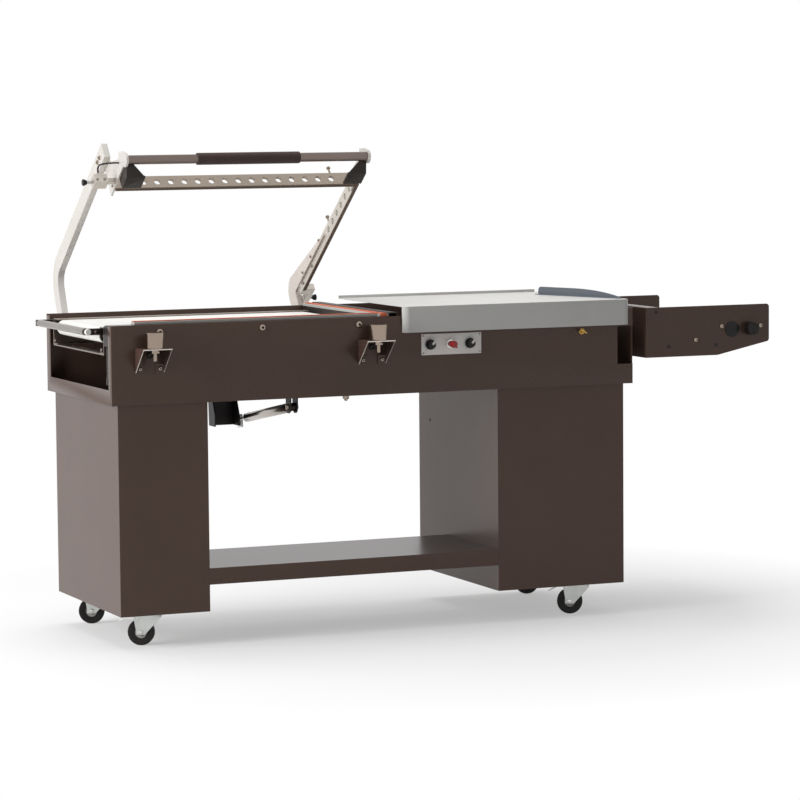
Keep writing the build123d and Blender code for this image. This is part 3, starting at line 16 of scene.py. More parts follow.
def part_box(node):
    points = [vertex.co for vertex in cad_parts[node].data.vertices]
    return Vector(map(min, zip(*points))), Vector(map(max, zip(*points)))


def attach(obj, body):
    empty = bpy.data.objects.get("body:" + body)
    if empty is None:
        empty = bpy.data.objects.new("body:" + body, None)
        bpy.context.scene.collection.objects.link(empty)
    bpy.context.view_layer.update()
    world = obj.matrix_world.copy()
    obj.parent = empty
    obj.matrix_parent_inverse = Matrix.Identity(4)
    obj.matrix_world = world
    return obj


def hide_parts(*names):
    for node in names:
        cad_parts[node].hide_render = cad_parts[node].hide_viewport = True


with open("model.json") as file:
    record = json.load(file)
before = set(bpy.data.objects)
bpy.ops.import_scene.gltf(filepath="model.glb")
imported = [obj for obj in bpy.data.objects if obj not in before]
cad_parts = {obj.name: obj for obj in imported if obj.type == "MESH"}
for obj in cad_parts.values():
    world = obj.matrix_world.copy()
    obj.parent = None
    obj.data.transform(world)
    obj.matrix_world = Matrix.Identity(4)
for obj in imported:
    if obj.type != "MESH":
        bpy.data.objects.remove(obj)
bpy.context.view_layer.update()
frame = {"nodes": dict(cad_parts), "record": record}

MM = 0.001

# %% [markdown]
# ## One datum for every measure
# A maker measures this machine from the chassis's left end, the face of its front panel and the floor.
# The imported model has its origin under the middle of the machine, so one helper turns a maker's
# millimetres into the model's metres. The sealing head is drawn as it lies closed on its pads, and a
# second helper swings such a place up about the rear pivot, as the model shows it.

# %% Datum and head pivot
rear_low, rear_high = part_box("rear_panel")
LEFT_END = rear_low.x
CHASSIS_DEPTH = 600
FRONT_FACE = rear_high.y - CHASSIS_DEPTH * MM
PIVOT_Y = 642
PIVOT_Z = 862.5
OPEN_ANGLE = 37.4


def at(x, y, z):
    return Vector((LEFT_END + x * MM, FRONT_FACE + y * MM, z * MM))


PIVOT = at(0, PIVOT_Y, PIVOT_Z)
SWING = Matrix.Rotation(-radians(OPEN_ANGLE), 4, "X")
RAISED = Matrix.Translation(PIVOT) @ SWING @ Matrix.Translation(-PIVOT)


def on_head(x, y, z):
    return RAISED @ at(x, y, z)


LEFT, RIGHT, FORWARD, REARWARD, UP, DOWN = [
    Vector(way) for way in ((-1, 0, 0), (1, 0, 0), (0, -1, 0), (0, 1, 0), (0, 0, 1), (0, 0, -1))
]
HEAD_FORWARD = RAISED.to_3x3() @ FORWARD
HEAD_UP = RAISED.to_3x3() @ UP
print("chassis corner in the model's frame:", [round(v, 4) for v in at(0, 0, 0)])

# %% [markdown]
# ## Camera
# The camera's place and lens were worked out from the straight edges of the cabinet. It stands nine
# metres off with a long lens, a little above the worktop, so upright edges stay almost parallel.
# A camera set by eye would do for a picture. A solved one lets each edge be compared with the photograph.

# %% Camera at the photograph's angle
CAMERA_PLACE = (-2950.7, -8963.4, 1531.5)
CAMERA_YAW = 0.402899
CAMERA_PITCH = -0.0880239
CAMERA_ROLL = -0.00852158
FOCAL_PIXELS = 3398.8
IMAGE_PIXELS = 800
SENSOR = 36.0

level = cos(CAMERA_PITCH)
forward = Vector((sin(CAMERA_YAW) * level, cos(CAMERA_YAW) * level, sin(CAMERA_PITCH)))
level_right = Vector((cos(CAMERA_YAW), -sin(CAMERA_YAW), 0))
level_up = level_right.cross(forward)
right = level_right * cos(CAMERA_ROLL) + level_up * sin(CAMERA_ROLL)
up = level_up * cos(CAMERA_ROLL) - level_right * sin(CAMERA_ROLL)
camera_data = bpy.data.cameras.new("camera")
camera_data.sensor_width = SENSOR
camera_data.lens = FOCAL_PIXELS / IMAGE_PIXELS * SENSOR
camera_data.clip_end = 100
camera = bpy.data.objects.new("camera", camera_data)
turn = Matrix((right, up, -forward)).transposed().to_4x4()
camera.matrix_world = Matrix.Translation(at(*CAMERA_PLACE)) @ turn
bpy.context.scene.collection.objects.link(camera)
bpy.context.scene.camera = camera
print("lens", round(camera_data.lens, 1), "mm")

# %% [markdown]
# ## Studio
# A product shot like this one is lit by a large soft box at the left and one overhead, in a white room.
# The light that the room itself gives is weaker behind the camera, so the fronts stay dark. Camera, mirror
# and glass rays see plain white, and the soft boxes are hidden from mirrors, so metal shows that white
# without glare. Near the machine the paper floor keeps most of its own colour, so that the soft shadow
# shows. Further off, more and more of its white is given straight to those rays, which saves stronger lamps.

# %% Rays that see a surface itself
bpy.context.scene.view_settings.view_transform = "Standard"


def larger(nodes, links, first, second):
    pick = nodes.new("ShaderNodeMath")
    pick.operation = "MAXIMUM"
    links.new(first, pick.inputs[0])
    links.new(second, pick.inputs[1])
    return pick.outputs[0]


def seen_directly(nodes, links):
    """A factor of 1 where the camera, a mirror or a glass sees the surface itself."""
    path = nodes.new("ShaderNodeLightPath")
    mirrored = larger(nodes, links, path.outputs["Is Glossy Ray"], path.outputs["Is Transmission Ray"])
    return larger(nodes, links, path.outputs["Is Camera Ray"], mirrored)


def ramped(nodes, links, value, start, end, low, high):
    span = nodes.new("ShaderNodeMapRange")
    span.inputs["From Min"].default_value = start
    span.inputs["From Max"].default_value = end
    span.inputs["To Min"].default_value = low
    span.inputs["To Max"].default_value = high
    links.new(value, span.inputs["Value"])
    return span.outputs["Result"]


# %% Paper floor
NEAR_SHARE = 0.4
NEAR_RADIUS = 1.0
FAR_RADIUS = 1.7
FLOOR_MARGIN = 0.4
PAPER = (0.86, 0.86, 0.86, 1)
WHITE = (1, 1, 1, 1)


def paper_floor():
    material = bpy.data.materials.new("paper_floor")
    material.use_nodes = True
    nodes, links = material.node_tree.nodes, material.node_tree.links
    nodes.clear()
    out = nodes.new("ShaderNodeOutputMaterial")
    paper = nodes.new("ShaderNodeBsdfDiffuse")
    paper.inputs["Color"].default_value = PAPER
    white = nodes.new("ShaderNodeEmission")
    white.inputs["Color"].default_value = WHITE
    place = nodes.new("ShaderNodeTexCoord")
    distance = nodes.new("ShaderNodeVectorMath")
    distance.operation = "LENGTH"
    links.new(place.outputs["Object"], distance.inputs[0])
    share = ramped(nodes, links, distance.outputs["Value"], NEAR_RADIUS, FAR_RADIUS, NEAR_SHARE, 1.0)
    factor = nodes.new("ShaderNodeMath")
    factor.operation = "MULTIPLY"
    links.new(seen_directly(nodes, links), factor.inputs[0])
    links.new(share, factor.inputs[1])
    mix = nodes.new("ShaderNodeMixShader")
    links.new(factor.outputs[0], mix.inputs[0])
    links.new(paper.outputs[0], mix.inputs[1])
    links.new(white.outputs[0], mix.inputs[2])
    links.new(mix.outputs[0], out.inputs["Surface"])
    return material


floor_bm = bmesh.new()
bmesh.ops.create_circle(floor_bm, cap_ends=True, segments=64, radius=FAR_RADIUS + FLOOR_MARGIN)
floor_mesh = bpy.data.meshes.new("floor")
floor_bm.to_mesh(floor_mesh)
floor_bm.free()
floor_mesh.materials.append(paper_floor())
floor = bpy.data.objects.new("floor", floor_mesh)
bpy.context.scene.collection.objects.link(floor)
print("floor from", NEAR_RADIUS, "to", FAR_RADIUS, "m fades to white")

# %% White room
WALL_LIGHT = 0.52
ROOM_LIGHT = 0.14
ROOM_FRONT = -0.6
ROOM_REAR = 0.2


def studio_world():
    world = bpy.data.worlds.new("studio")
    world.use_nodes = True
    nodes, links = world.node_tree.nodes, world.node_tree.links
    nodes.clear()
    place = nodes.new("ShaderNodeTexCoord")
    way = nodes.new("ShaderNodeSeparateXYZ")
    links.new(place.outputs["Generated"], way.inputs[0])
    walls = nodes.new("ShaderNodeBackground")
    light = ramped(nodes, links, way.outputs["Y"], ROOM_FRONT, ROOM_REAR, ROOM_LIGHT, WALL_LIGHT)
    links.new(light, walls.inputs["Strength"])
    backdrop = nodes.new("ShaderNodeBackground")
    backdrop.inputs["Strength"].default_value = 1.0
    for shade in (walls, backdrop):
        shade.inputs["Color"].default_value = WHITE
    whole = nodes.new("ShaderNodeMixShader")
    links.new(seen_directly(nodes, links), whole.inputs[0])
    links.new(walls.outputs[0], whole.inputs[1])
    links.new(backdrop.outputs[0], whole.inputs[2])
    out = nodes.new("ShaderNodeOutputWorld")
    links.new(whole.outputs[0], out.inputs["Surface"])
    bpy.context.scene.world = world


def soft_box(name, place, target, size, power):
    light = bpy.data.lights.new(name, "AREA")
    light.shape = "SQUARE"
    light.size = size
    light.energy = power
    lamp = bpy.data.objects.new(name, light)
    lamp.location = place
    lamp.visible_glossy = False
    lamp.rotation_euler = (Vector(target) - Vector(place)).to_track_quat("-Z", "Y").to_euler()
    bpy.context.scene.collection.objects.link(lamp)
    return lamp


studio_world()
soft_box("left_soft_box", place=(-4.4, -0.6, 1.5), target=(0, 0, 0.6), size=2.6, power=168)
soft_box("top_soft_box", place=(-0.4, 0.5, 4.2), target=(0, 0.2, 0.8), size=3.0, power=98)
print("studio ready")

# %% [markdown]
# ## Finishes
# Every finish is a small node tree on Object coordinates. A broad noise shifts the colour a little, as
# paint and metal do over a metre, and a fine noise gives the orange peel of powder coat, the lay of
# brushed metal or the grain of moulded plastic. Stretching the fine noise along one axis turns it into
# brush lines.

# %% Finish maker
RAMP_STOPS = (0.3, 0.7)
RELIEF_DEPTH = 0.0004


def srgb(red, green, blue):
    def linear(value):
        value /= 255
        return value / 12.92 if value <= 0.04045 else ((value + 0.055) / 1.055) ** 2.4

    return (linear(red), linear(green), linear(blue), 1)


def finish(name, colour, shift=0.08, rough=0.4, spread=0.06, metal=0.0, grain=900, stretch=(1, 1, 1),
           bump=0.05, patch=6, shine=0.5, tint=WHITE):
    """Paint, metal, rubber or plastic: a broad colour shift and a fine grain on Object coordinates."""
    material = bpy.data.materials.new(name)
    material.use_nodes = True
    nodes, links = material.node_tree.nodes, material.node_tree.links
    shader = nodes["Principled BSDF"]
    shader.inputs["Metallic"].default_value = metal
    shader.inputs["Specular IOR Level"].default_value = shine
    shader.inputs["Specular Tint"].default_value = tint
    place = nodes.new("ShaderNodeTexCoord")
    broad = nodes.new("ShaderNodeTexNoise")
    broad.inputs["Scale"].default_value = patch
    broad.inputs["Detail"].default_value = 4
    links.new(place.outputs["Object"], broad.inputs["Vector"])
    ramp = nodes.new("ShaderNodeValToRGB")
    for stop, position, factor in zip(ramp.color_ramp.elements, RAMP_STOPS, (1 - shift, 1 + shift)):
        stop.position = position
        stop.color = tuple(min(1, channel * factor) for channel in colour[:3]) + (1,)
    links.new(broad.outputs["Fac"], ramp.inputs["Fac"])
    links.new(ramp.outputs["Color"], shader.inputs["Base Color"])
    lay = nodes.new("ShaderNodeMapping")
    lay.inputs["Scale"].default_value = stretch
    links.new(place.outputs["Object"], lay.inputs["Vector"])
    fine = nodes.new("ShaderNodeTexNoise")
    fine.inputs["Scale"].default_value = grain
    fine.inputs["Detail"].default_value = 3
    links.new(lay.outputs["Vector"], fine.inputs["Vector"])
    roughness = ramped(nodes, links, fine.outputs["Fac"], 0.0, 1.0, rough - spread, rough + spread)
    links.new(roughness, shader.inputs["Roughness"])
    relief = nodes.new("ShaderNodeBump")
    relief.inputs["Strength"].default_value = bump
    relief.inputs["Distance"].default_value = RELIEF_DEPTH
    links.new(fine.outputs["Fac"], relief.inputs["Height"])
    links.new(relief.outputs["Normal"], shader.inputs["Normal"])
    return material


# %% [markdown]
# ### Painted sheet
# The cabinet is folded sheet in a dark taupe powder coat with a low sheen. The tray, the beds and the
# control plate carry lighter coats. Powder coat has a fine orange peel, so its grain is small and even.
# A flat colour alone would look like plastic.

# %% Paints
FINISH = {
    "cabinet_paint": finish("cabinet_paint", srgb(72, 55, 48), rough=0.27, bump=0.04, grain=1400, shine=0.38,
                            tint=(1, 0.84, 0.76, 1)),
    "dark_rail": finish("dark_rail", srgb(46, 40, 37), rough=0.45, bump=0.08, shine=0.25),
    "bed_grey": finish("bed_grey", srgb(170, 170, 166), rough=0.4),
    "tray_grey": finish("tray_grey", srgb(204, 203, 200), shift=0.03, rough=0.46, bump=0.04, grain=1400,
                        shine=0.3),
    "guide_blue_grey": finish("guide_blue_grey", srgb(104, 109, 117), shift=0.03, rough=0.38, bump=0.05,
                              shine=0.25),
    "plate_light": finish("plate_light", srgb(236, 231, 226), shift=0.03, rough=0.35, bump=0.03, shine=0.9),
    "black_paint": finish("black_paint", srgb(34, 29, 28), rough=0.4, bump=0.06, shine=0.25),
    "ink": finish("ink", srgb(52, 48, 46), shift=0.1, rough=0.7, bump=0.0),
}
print("paints:", len(FINISH))

# %% [markdown]
# ### Bare metal
# The bars, arms and clamps are milled aluminium with a satin beige-grey look, the handle tube is dark
# drawn steel, and the rollers, magnets and casters are plated. A metal's colour is its reflection, so a
# white room shows it much as it is written, and the lay of the brush lines breaks that up.

# %% Metals
ALONG_X = (0.02, 1, 1)
ALONG_Y = (1, 0.02, 1)
ALONG_Z = (1, 1, 0.02)
FINISH.update({
    "nickel": finish("nickel", srgb(153, 138, 125), shift=0.06, rough=0.22, metal=1.0, stretch=ALONG_Z,
                     bump=0.02),
    "bar_aluminium": finish("bar_aluminium", srgb(166, 154, 141), rough=0.38, metal=0.8, stretch=ALONG_X,
                            bump=0.006),
    "side_aluminium": finish("side_aluminium", srgb(206, 199, 190), rough=0.4, metal=0.8, stretch=ALONG_Y,
                             bump=0.006),
    "arm_aluminium": finish("arm_aluminium", srgb(211, 207, 201), shift=0.04, rough=0.5, metal=0.45,
                            bump=0.004),
    "shoulder_grey": finish("shoulder_grey", srgb(212, 203, 195), shift=0.04, rough=0.46, metal=0.5,
                            bump=0.004),
    "rail_steel": finish("rail_steel", srgb(150, 138, 128), rough=0.34, metal=1.0, stretch=ALONG_X,
                         bump=0.04),
    "steel": finish("steel", srgb(150, 141, 134), rough=0.32, metal=1.0, stretch=ALONG_X, bump=0.03),
    "handle_steel": finish("handle_steel", srgb(122, 109, 104), rough=0.36, metal=1.0, stretch=ALONG_X,
                           bump=0.03),
    "roller_steel": finish("roller_steel", srgb(150, 143, 138), rough=0.28, metal=1.0, stretch=ALONG_Y,
                           bump=0.03),
    "zinc": finish("zinc", srgb(196, 199, 195), shift=0.08, rough=0.3, metal=0.8, patch=40, bump=0.01),
    "polished_tube": finish("polished_tube", srgb(178, 170, 164), rough=0.2, metal=1.0, stretch=ALONG_Y,
                            bump=0.01),
    "chrome": finish("chrome", srgb(206, 204, 202), shift=0.03, rough=0.12, spread=0.03, metal=1.0,
                     bump=0.01),
    # A light metal that paints the highlight on the magnet brackets' cut edges.
    "painted_edge_highlight": finish("painted_edge_highlight", srgb(214, 206, 198), rough=0.35, metal=0.6, bump=0.03),
    "brass": finish("brass", srgb(176, 140, 74), rough=0.3, metal=1.0, bump=0.03),
})
print("finishes so far:", len(FINISH))

# %% [markdown]
# ### Rubber, plastic and belt
# The pads are red-brown silicone, the grip is foam, and the knobs are moulded. Each has its own grain.
# An image could show that grain. Noise needs no file and has the same size on every piece.

# %% Soft and moulded finishes
FINISH.update({
    "silicone": finish("silicone", srgb(196, 96, 62), shift=0.1, rough=0.6, bump=0.1, grain=500),
    "black_plastic": finish("black_plastic", srgb(24, 21, 20), shift=0.15, rough=0.36, bump=0.06,
                            shine=0.25),
    "red_plastic": finish("red_plastic", srgb(164, 26, 24), rough=0.28, bump=0.02),
    "white_plastic": finish("white_plastic", srgb(232, 229, 224), shift=0.03, rough=0.4, bump=0.03),
    "band_dark": finish("band_dark", srgb(98, 82, 69), shift=0.15, rough=0.6, bump=0.06),
    "black_foam": finish("black_foam", srgb(74, 61, 59), shift=0.15, rough=0.8, grain=1800, bump=0.3,
                         shine=0.3),
    "lead_black": finish("lead_black", srgb(34, 30, 30), shift=0.1, rough=0.5, bump=0.05),
    "caster_tyre": finish("caster_tyre", srgb(30, 28, 27), shift=0.15, rough=0.55, grain=700, bump=0.1,
                          shine=0.25),
    "hub_grey": finish("hub_grey", srgb(150, 148, 144), shift=0.05, rough=0.42, bump=0.04),
    "white_belt": finish("white_belt", srgb(228, 226, 222), shift=0.02, rough=0.6, grain=700, bump=0.1),
})
print("finishes:", len(FINISH))

# %% [markdown]
# ## Finishes on the CAD nodes
# Each CAD node takes one finish. The record names its material slot, and a few pieces get a variant, such
# as the side bar, whose brush lines run from front to rear. The chassis floor takes black paint, which is
# painted shade for the inside seen through the left end.
# A table of names keeps all of them in view, where setting each object in turn would hide one.

# %% Dress the CAD nodes
RECORD = frame["record"]
NODE_SLOT = {part["node"]: part["material_slot"] for part in RECORD["subparts"]}
NODE_FINISH = dict(NODE_SLOT)
NODE_FINISH.update({
    "left_arm": "arm_aluminium",
    "right_arm": "shoulder_grey",
    "head_end_plates": "arm_aluminium",
    "wire_terminals": "side_aluminium",
    # black paint on the chassis floor: painted shade for the inside of the chassis
    "chassis_floor": "black_paint",
    "front_seal_bar": "bar_aluminium",
    "side_seal_bar": "side_aluminium",
    "corner_brackets": "dark_rail",
    "handle_tube": "handle_steel",
    "terminal_lead": "lead_black",
    "conveyor_frame": "rail_steel",
    "outfeed_roller": "roller_steel",
    "drive_roller": "roller_steel",
    "idler_roller": "roller_steel",
    "near_cradle_roller": "black_paint",
    "far_cradle_roller": "black_paint",
    "gas_spring_cylinder": "chrome",
    "gas_spring_rod": "chrome",
})
for corner in ("front_left", "rear_left", "front_right", "rear_right"):
    NODE_FINISH[corner + "_fork"] = "zinc"
BODY_OF = {node: body for body, nodes in RECORD["behaviour"]["bodies"].items() for node in nodes}
for node, thing in frame["nodes"].items():
    thing.data.materials.clear()
    thing.data.materials.append(FINISH[NODE_FINISH[node]])
print("dressed", len(frame["nodes"]), "nodes")

# %% [markdown]
# ## Rounded edges
# Sheet metal has a bend radius and milled bars have a broken edge. Those thin highlights make a machine
# look real. A CAD node's own mesh must not change, so a copy is welded, its flat triangles are dissolved
# into whole faces, and its long sharp edges are bevelled. The copy then stands for the node.
# A bevel in the shader would be quicker, but it shows only in a render and not in an exported mesh.

# %% Bevelled copies of the CAD nodes
SHARP_ANGLE = 35
BEVELLED_ANGLE = 25
FLAT_ANGLE = 0.5
WELD = 1e-6


def finished_piece(name, bm, finish_name, body, smooth_angle=SHARP_ANGLE):
    mesh = bpy.data.meshes.new(name)
    bm.to_mesh(mesh)
    bm.free()
    mesh.shade_smooth()
    mesh.set_sharp_from_angle(angle=radians(smooth_angle))
    mesh.materials.append(FINISH[finish_name])
    thing = bpy.data.objects.new(name, mesh)
    bpy.context.scene.collection.objects.link(thing)
    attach(thing, body)
    return thing


def bevel_edges(bm, edges, width, segments=2):
    bmesh.ops.bevel(bm, geom=edges, offset=width, offset_type="OFFSET", segments=segments, profile=0.5,
                    affect="EDGES", material=-1, clamp_overlap=False)


def welded_copy(node):
    bm = bmesh.new()
    bm.from_mesh(frame["nodes"][node].data)
    bmesh.ops.remove_doubles(bm, verts=bm.verts, dist=WELD)
    bmesh.ops.dissolve_limit(bm, angle_limit=radians(FLAT_ANGLE), verts=bm.verts, edges=bm.edges)
    return bm


def soften(node, width, shortest=8):
    bm = welded_copy(node)
    sharp = [edge for edge in bm.edges if len(edge.link_faces) == 2 and edge.calc_length() > shortest * MM
             and edge.calc_face_angle() > radians(SHARP_ANGLE)]
    bevel_edges(bm, sharp, width * MM)
    piece = finished_piece(node + "_soft", bm, NODE_FINISH[node], BODY_OF[node],
                           BEVELLED_ANGLE)
    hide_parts(node)
    return piece


SOFT_EDGES = {
    "left_pedestal": 0.8, "right_pedestal": 0.8, "lower_shelf": 0.8, "front_panel": 0.7, "rear_panel": 0.7,
    "left_end_panel": 0.6, "right_end_panel": 0.6, "side_rail": 0.8, "seal_beds": 0.8, "seal_pads": 0.6,
    "conveyor_frame": 0.6, "left_arm": 1.6, "right_arm": 1.4, "front_seal_bar": 0.8, "product_tray": 0.8,
    "side_seal_bar": 0.8, "head_end_plates": 0.9, "corner_brackets": 0.8, "wire_terminals": 1.2,
    "unwind_frame": 0.8, "pivot_bearings": 1.5, "outfeed_brackets": 1.2, "control_plate": 0.4,
}
for node, width in SOFT_EDGES.items():
    soften(node, width)
print("softened", len(SOFT_EDGES), "nodes")

# %% [markdown]
# ## Magnet brackets with painted edge highlights
# Each magnet stands on a folded bracket. Its cut edges catch the light and show as thin bright lines, and
# that highlight is painted here. The bracket's copy is bevelled like the others, and the faces that look
# forward from the front of the shelf and down the webs get a second, light material. Choosing faces by
# their direction saves modelling the edges as pieces of their own.

# %% Brackets
FORWARD_SLOPE = -0.4
PANEL_CLEARANCE = 4
brackets = soften("magnet_brackets", 0.6)
# The second material is a painted highlight on the forward faces of the cut edges.
brackets.data.materials.append(FINISH["painted_edge_highlight"])
for face in brackets.data.polygons:
    looks_forward = face.normal.y < FORWARD_SLOPE
    clear_of_panel = face.center.y < FRONT_FACE - PANEL_CLEARANCE * MM
    face.material_index = 1 if looks_forward and clear_of_panel else 0
print("painted highlight faces:", sum(face.material_index for face in brackets.data.polygons))

# %% [markdown]
# ## Turned pieces
# Magnets, knobs, wheels and pins are lathe work, so one helper spins a half profile about its axis. The
# profile is a list of radius and height in millimetres. Flutes are pressed in by moving the vertices of
# one radius in and out round the axis. The finished bmesh is then stood at its place, along any direction.

# %% Lathe, gather and stand helpers


def stood(bm, place, direction):
    turn = Vector(direction).to_track_quat("Z", "Y").to_matrix().to_4x4()
    bmesh.ops.transform(bm, matrix=Matrix.Translation(place) @ turn, verts=bm.verts)
    return bm


def turned(profile, place, direction, steps=32, flutes=None):
    bm = bmesh.new()
    points = [bm.verts.new((radius * MM, 0, height * MM)) for radius, height in profile]
    lines = [bm.edges.new(pair) for pair in zip(points, points[1:])]
    bmesh.ops.spin(bm, geom=points + lines, axis=(0, 0, 1), cent=(0, 0, 0), angle=2 * pi, steps=steps,
                   use_merge=True)
    bmesh.ops.remove_doubles(bm, verts=bm.verts, dist=WELD)
    bmesh.ops.recalc_face_normals(bm, faces=bm.faces)
    if flutes:
        radius, count, depth = flutes
        for vert in bm.verts:
            if abs(hypot(vert.co.x, vert.co.y) - radius * MM) < 0.3 * MM:
                wave = 0.5 + 0.5 * cos(count * atan2(vert.co.y, vert.co.x))
                vert.co.xy *= 1 - depth / radius * wave
    return stood(bm, place, direction)


def gathered(parts):
    whole = bmesh.new()
    for part in parts:
        scratch = bpy.data.meshes.new("scratch")
        part.to_mesh(scratch)
        part.free()
        whole.from_mesh(scratch)
        bpy.data.meshes.remove(scratch)
    return whole


# %% [markdown]
# ## Fasteners
# Small screws and nuts tell the eye how big the machine is. A button screw is six rings of vertices that
# are bridged and closed: four round ones for the dome and two of six corners for its socket. A nut is a
# straight cone of six sides with its outer rim bevelled.

# %% Screw and nut helpers


def button_screw(place, direction, diameter, height):
    radius = diameter / 2
    rings = [(1.0, 0.0, 24), (1.0, 0.3, 24), (0.8, 0.8, 24), (0.58, 1.0, 24), (0.4, 1.0, 6), (0.36, 0.45, 6)]
    bm = bmesh.new()
    loops = []
    for share, level, sides in rings:
        lift = Matrix.Translation((0, 0, level * height * MM))
        made = bmesh.ops.create_circle(bm, segments=sides, radius=share * radius * MM, matrix=lift)
        loops.append(list({edge for vert in made["verts"] for edge in vert.link_edges}))
    for lower, upper in zip(loops, loops[1:]):
        bmesh.ops.bridge_loops(bm, edges=lower + upper)
    bmesh.ops.holes_fill(bm, edges=bm.edges, sides=0)
    bmesh.ops.recalc_face_normals(bm, faces=bm.faces)
    return stood(bm, place, direction)


def hex_nut(place, direction, across, height):
    corner = across / sqrt(3) * MM
    lift = Matrix.Translation((0, 0, height / 2 * MM))
    bm = bmesh.new()
    bmesh.ops.create_cone(bm, cap_ends=True, segments=6, radius1=corner, radius2=corner, depth=height * MM,
                          matrix=lift)
    rim = [edge for edge in bm.edges if all(vert.co.z > height * 0.9 * MM for vert in edge.verts)]
    bevel_edges(bm, rim, 0.1 * across * MM)
    return stood(bm, place, direction)


# %% [markdown]
# ## Screws of the cabinet
# The front panel is held by domed screws, the brackets by two small ones each, and a nut and stud hold
# each magnet from below. A stud with a nut hangs from the chassis floor.
# Screws could be painted on as a bump, but from the side only a real form shows. Those of one kind are
# gathered into one mesh, so the list of pieces stays short.

# %% Panel, bracket and floor fasteners
MAGNET_PLACES = (112.5, 784.5)
MAGNET_Y = -46
SHELF_UNDERSIDE = 847
CHASSIS_BOTTOM = 690
PANEL_SCREWS = ((143, 893), (449, 895), (744, 894))
FOOT_SPREAD = 29.5
FOOT_Z = 791
FLOOR_STUD = (726, 60)
panel_screws = [button_screw(at(x, 0, z), FORWARD, 20, 6) for x, z in PANEL_SCREWS]
finished_piece("panel_screws", gathered(panel_screws), "nickel", "chassis")
foot_screws = [button_screw(at(centre + side * FOOT_SPREAD, -3, FOOT_Z), FORWARD, 13, 5)
               for centre in MAGNET_PLACES for side in (-1, 1)]
finished_piece("bracket_screws", gathered(foot_screws), "nickel", "chassis")
magnet_studs = []
for centre in MAGNET_PLACES:
    under = at(centre, MAGNET_Y, SHELF_UNDERSIDE)
    magnet_studs.append(turned([(0, 0), (6, 0), (6, 30), (5, 32), (0, 32)], under, DOWN))
    magnet_studs.append(hex_nut(under, DOWN, 22, 11))
finished_piece("magnet_studs", gathered(magnet_studs), "nickel", "chassis")
stud = [(0, 0), (5, 0), (5, 17), (3.5, 19), (0, 19)]
floor_stud = [turned(stud, at(*FLOOR_STUD, CHASSIS_BOTTOM), DOWN)]
floor_stud.append(hex_nut(at(*FLOOR_STUD, CHASSIS_BOTTOM - 5), DOWN, 16, 9))
finished_piece("floor_stud", gathered(floor_stud), "nickel", "chassis")
print("cabinet fasteners:", len(panel_screws + foot_screws + magnet_studs + floor_stud))

# %% [markdown]
# ## Hold-down magnets
# A pot magnet is a plated cup with a centre pole and a ring of dark resin over its coil. The cup and the
# pole are one lathe profile, and the resin is a second, closed one. Rubber grommets below them take the
# coil leads through the panel.
# A groove cut from a cylinder would need a boolean, which a profile avoids.

# %% Magnets, resin rings and grommets
MAGNET_BASE = 850
GROMMET_Z = 828
cup = [(0, 0), (24, 0), (25.5, 1.5), (25.5, 43.5), (24.5, 45), (20.2, 45), (20.2, 42), (12, 42), (12, 45),
       (0, 45)]
resin = [(12, 41), (20.2, 41), (20.2, 43.4), (12, 43.4), (12, 41)]
grommet = [(4, -2), (8, -2), (10, 0.5), (9, 3), (6, 4), (4, 3), (4, -2)]
magnet_feet = [at(x, MAGNET_Y, MAGNET_BASE) for x in MAGNET_PLACES]
cups = finished_piece("magnet_cups", gathered([turned(cup, foot, UP, 48) for foot in magnet_feet]), "nickel",
                      "chassis")
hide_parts("hold_down_magnets")
resin_rings = [turned(resin, foot, UP, 48) for foot in magnet_feet]
finished_piece("magnet_resin", gathered(resin_rings), "black_plastic", "chassis")
grommets = [turned(grommet, at(x, 0, GROMMET_Z), FORWARD) for x in MAGNET_PLACES]
finished_piece("lead_grommets", gathered(grommets), "black_plastic", "chassis")
print("magnets:", len(magnet_feet))

# %% [markdown]
# ## Controls
# The light plate carries two black dials and a red selector on a chrome bezel. A dial is a fluted lathe
# profile with a white pointer set in its face. The pointer is a bevelled bar that lies along the dial's
# own radius, so it turns with the dial.

# %% Dials and their pointers
PLATE_FACE = -1.5
DIAL_GAP = 0.3
DIAL_TILT = 40
DIALS = {"left_dial": 965, "right_dial": 1090}
CONTROL_Z = 828.5
DIAL_PROFILE = [(0, 0), (14.6, 0), (15, 0.6), (15, 4.4), (14, 5.8), (11.9, 6), (11.7, 7), (11.7, 16.4),
                (10.6, 18), (0, 18)]
DIAL_FLUTES = (11.7, 24, 0.7)
POINTER_FOOT = 17.6


def bar(length, width, height, start):
    """A bevelled bar that runs from a start radius along +X, standing on z = 0."""
    bm = bmesh.new()
    bmesh.ops.create_cube(bm, size=1)
    bmesh.ops.scale(bm, vec=Vector((length, width, height)) * MM, verts=bm.verts)
    bevel_edges(bm, list(bm.edges), 0.18 * min(width, height) * MM)
    bmesh.ops.translate(bm, vec=Vector((start + length / 2, 0, height / 2)) * MM, verts=bm.verts)
    return bm


def on_panel(bm, x, y, z, clockwise):
    """Turn a flat piece clockwise from +X, as the operator sees it, and stand it on the panel."""
    facing = Matrix((RIGHT, UP, FORWARD)).transposed().to_4x4()
    turn = Matrix.Rotation(-radians(clockwise), 4, "Z")
    bmesh.ops.transform(bm, matrix=Matrix.Translation(at(x, y, z)) @ facing @ turn, verts=bm.verts)
    return bm


for node, x in DIALS.items():
    base = at(x, PLATE_FACE - DIAL_GAP, CONTROL_Z)
    fluted = turned(DIAL_PROFILE, base, FORWARD, 96, DIAL_FLUTES)
    knob = finished_piece(node + "_knob", fluted, "black_plastic", node)
    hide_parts(node)
    pointer_y = PLATE_FACE - DIAL_GAP - POINTER_FOOT
    pointer = on_panel(bar(13.5, 6, 1.2, 0.5), x, pointer_y, CONTROL_Z, DIAL_TILT - 90)
    finished_piece(node + "_pointer", pointer, "white_plastic", node)
print("dials:", len(DIALS))

# %% [markdown]
# ### Selector
# The selector turns in a fixed chrome bezel. Its neck is chrome too, and the red grip on it has a short
# pointed lever, made from a bar whose far end is pulled together.
# At this size that reads as moulded plastic without any sculpting.

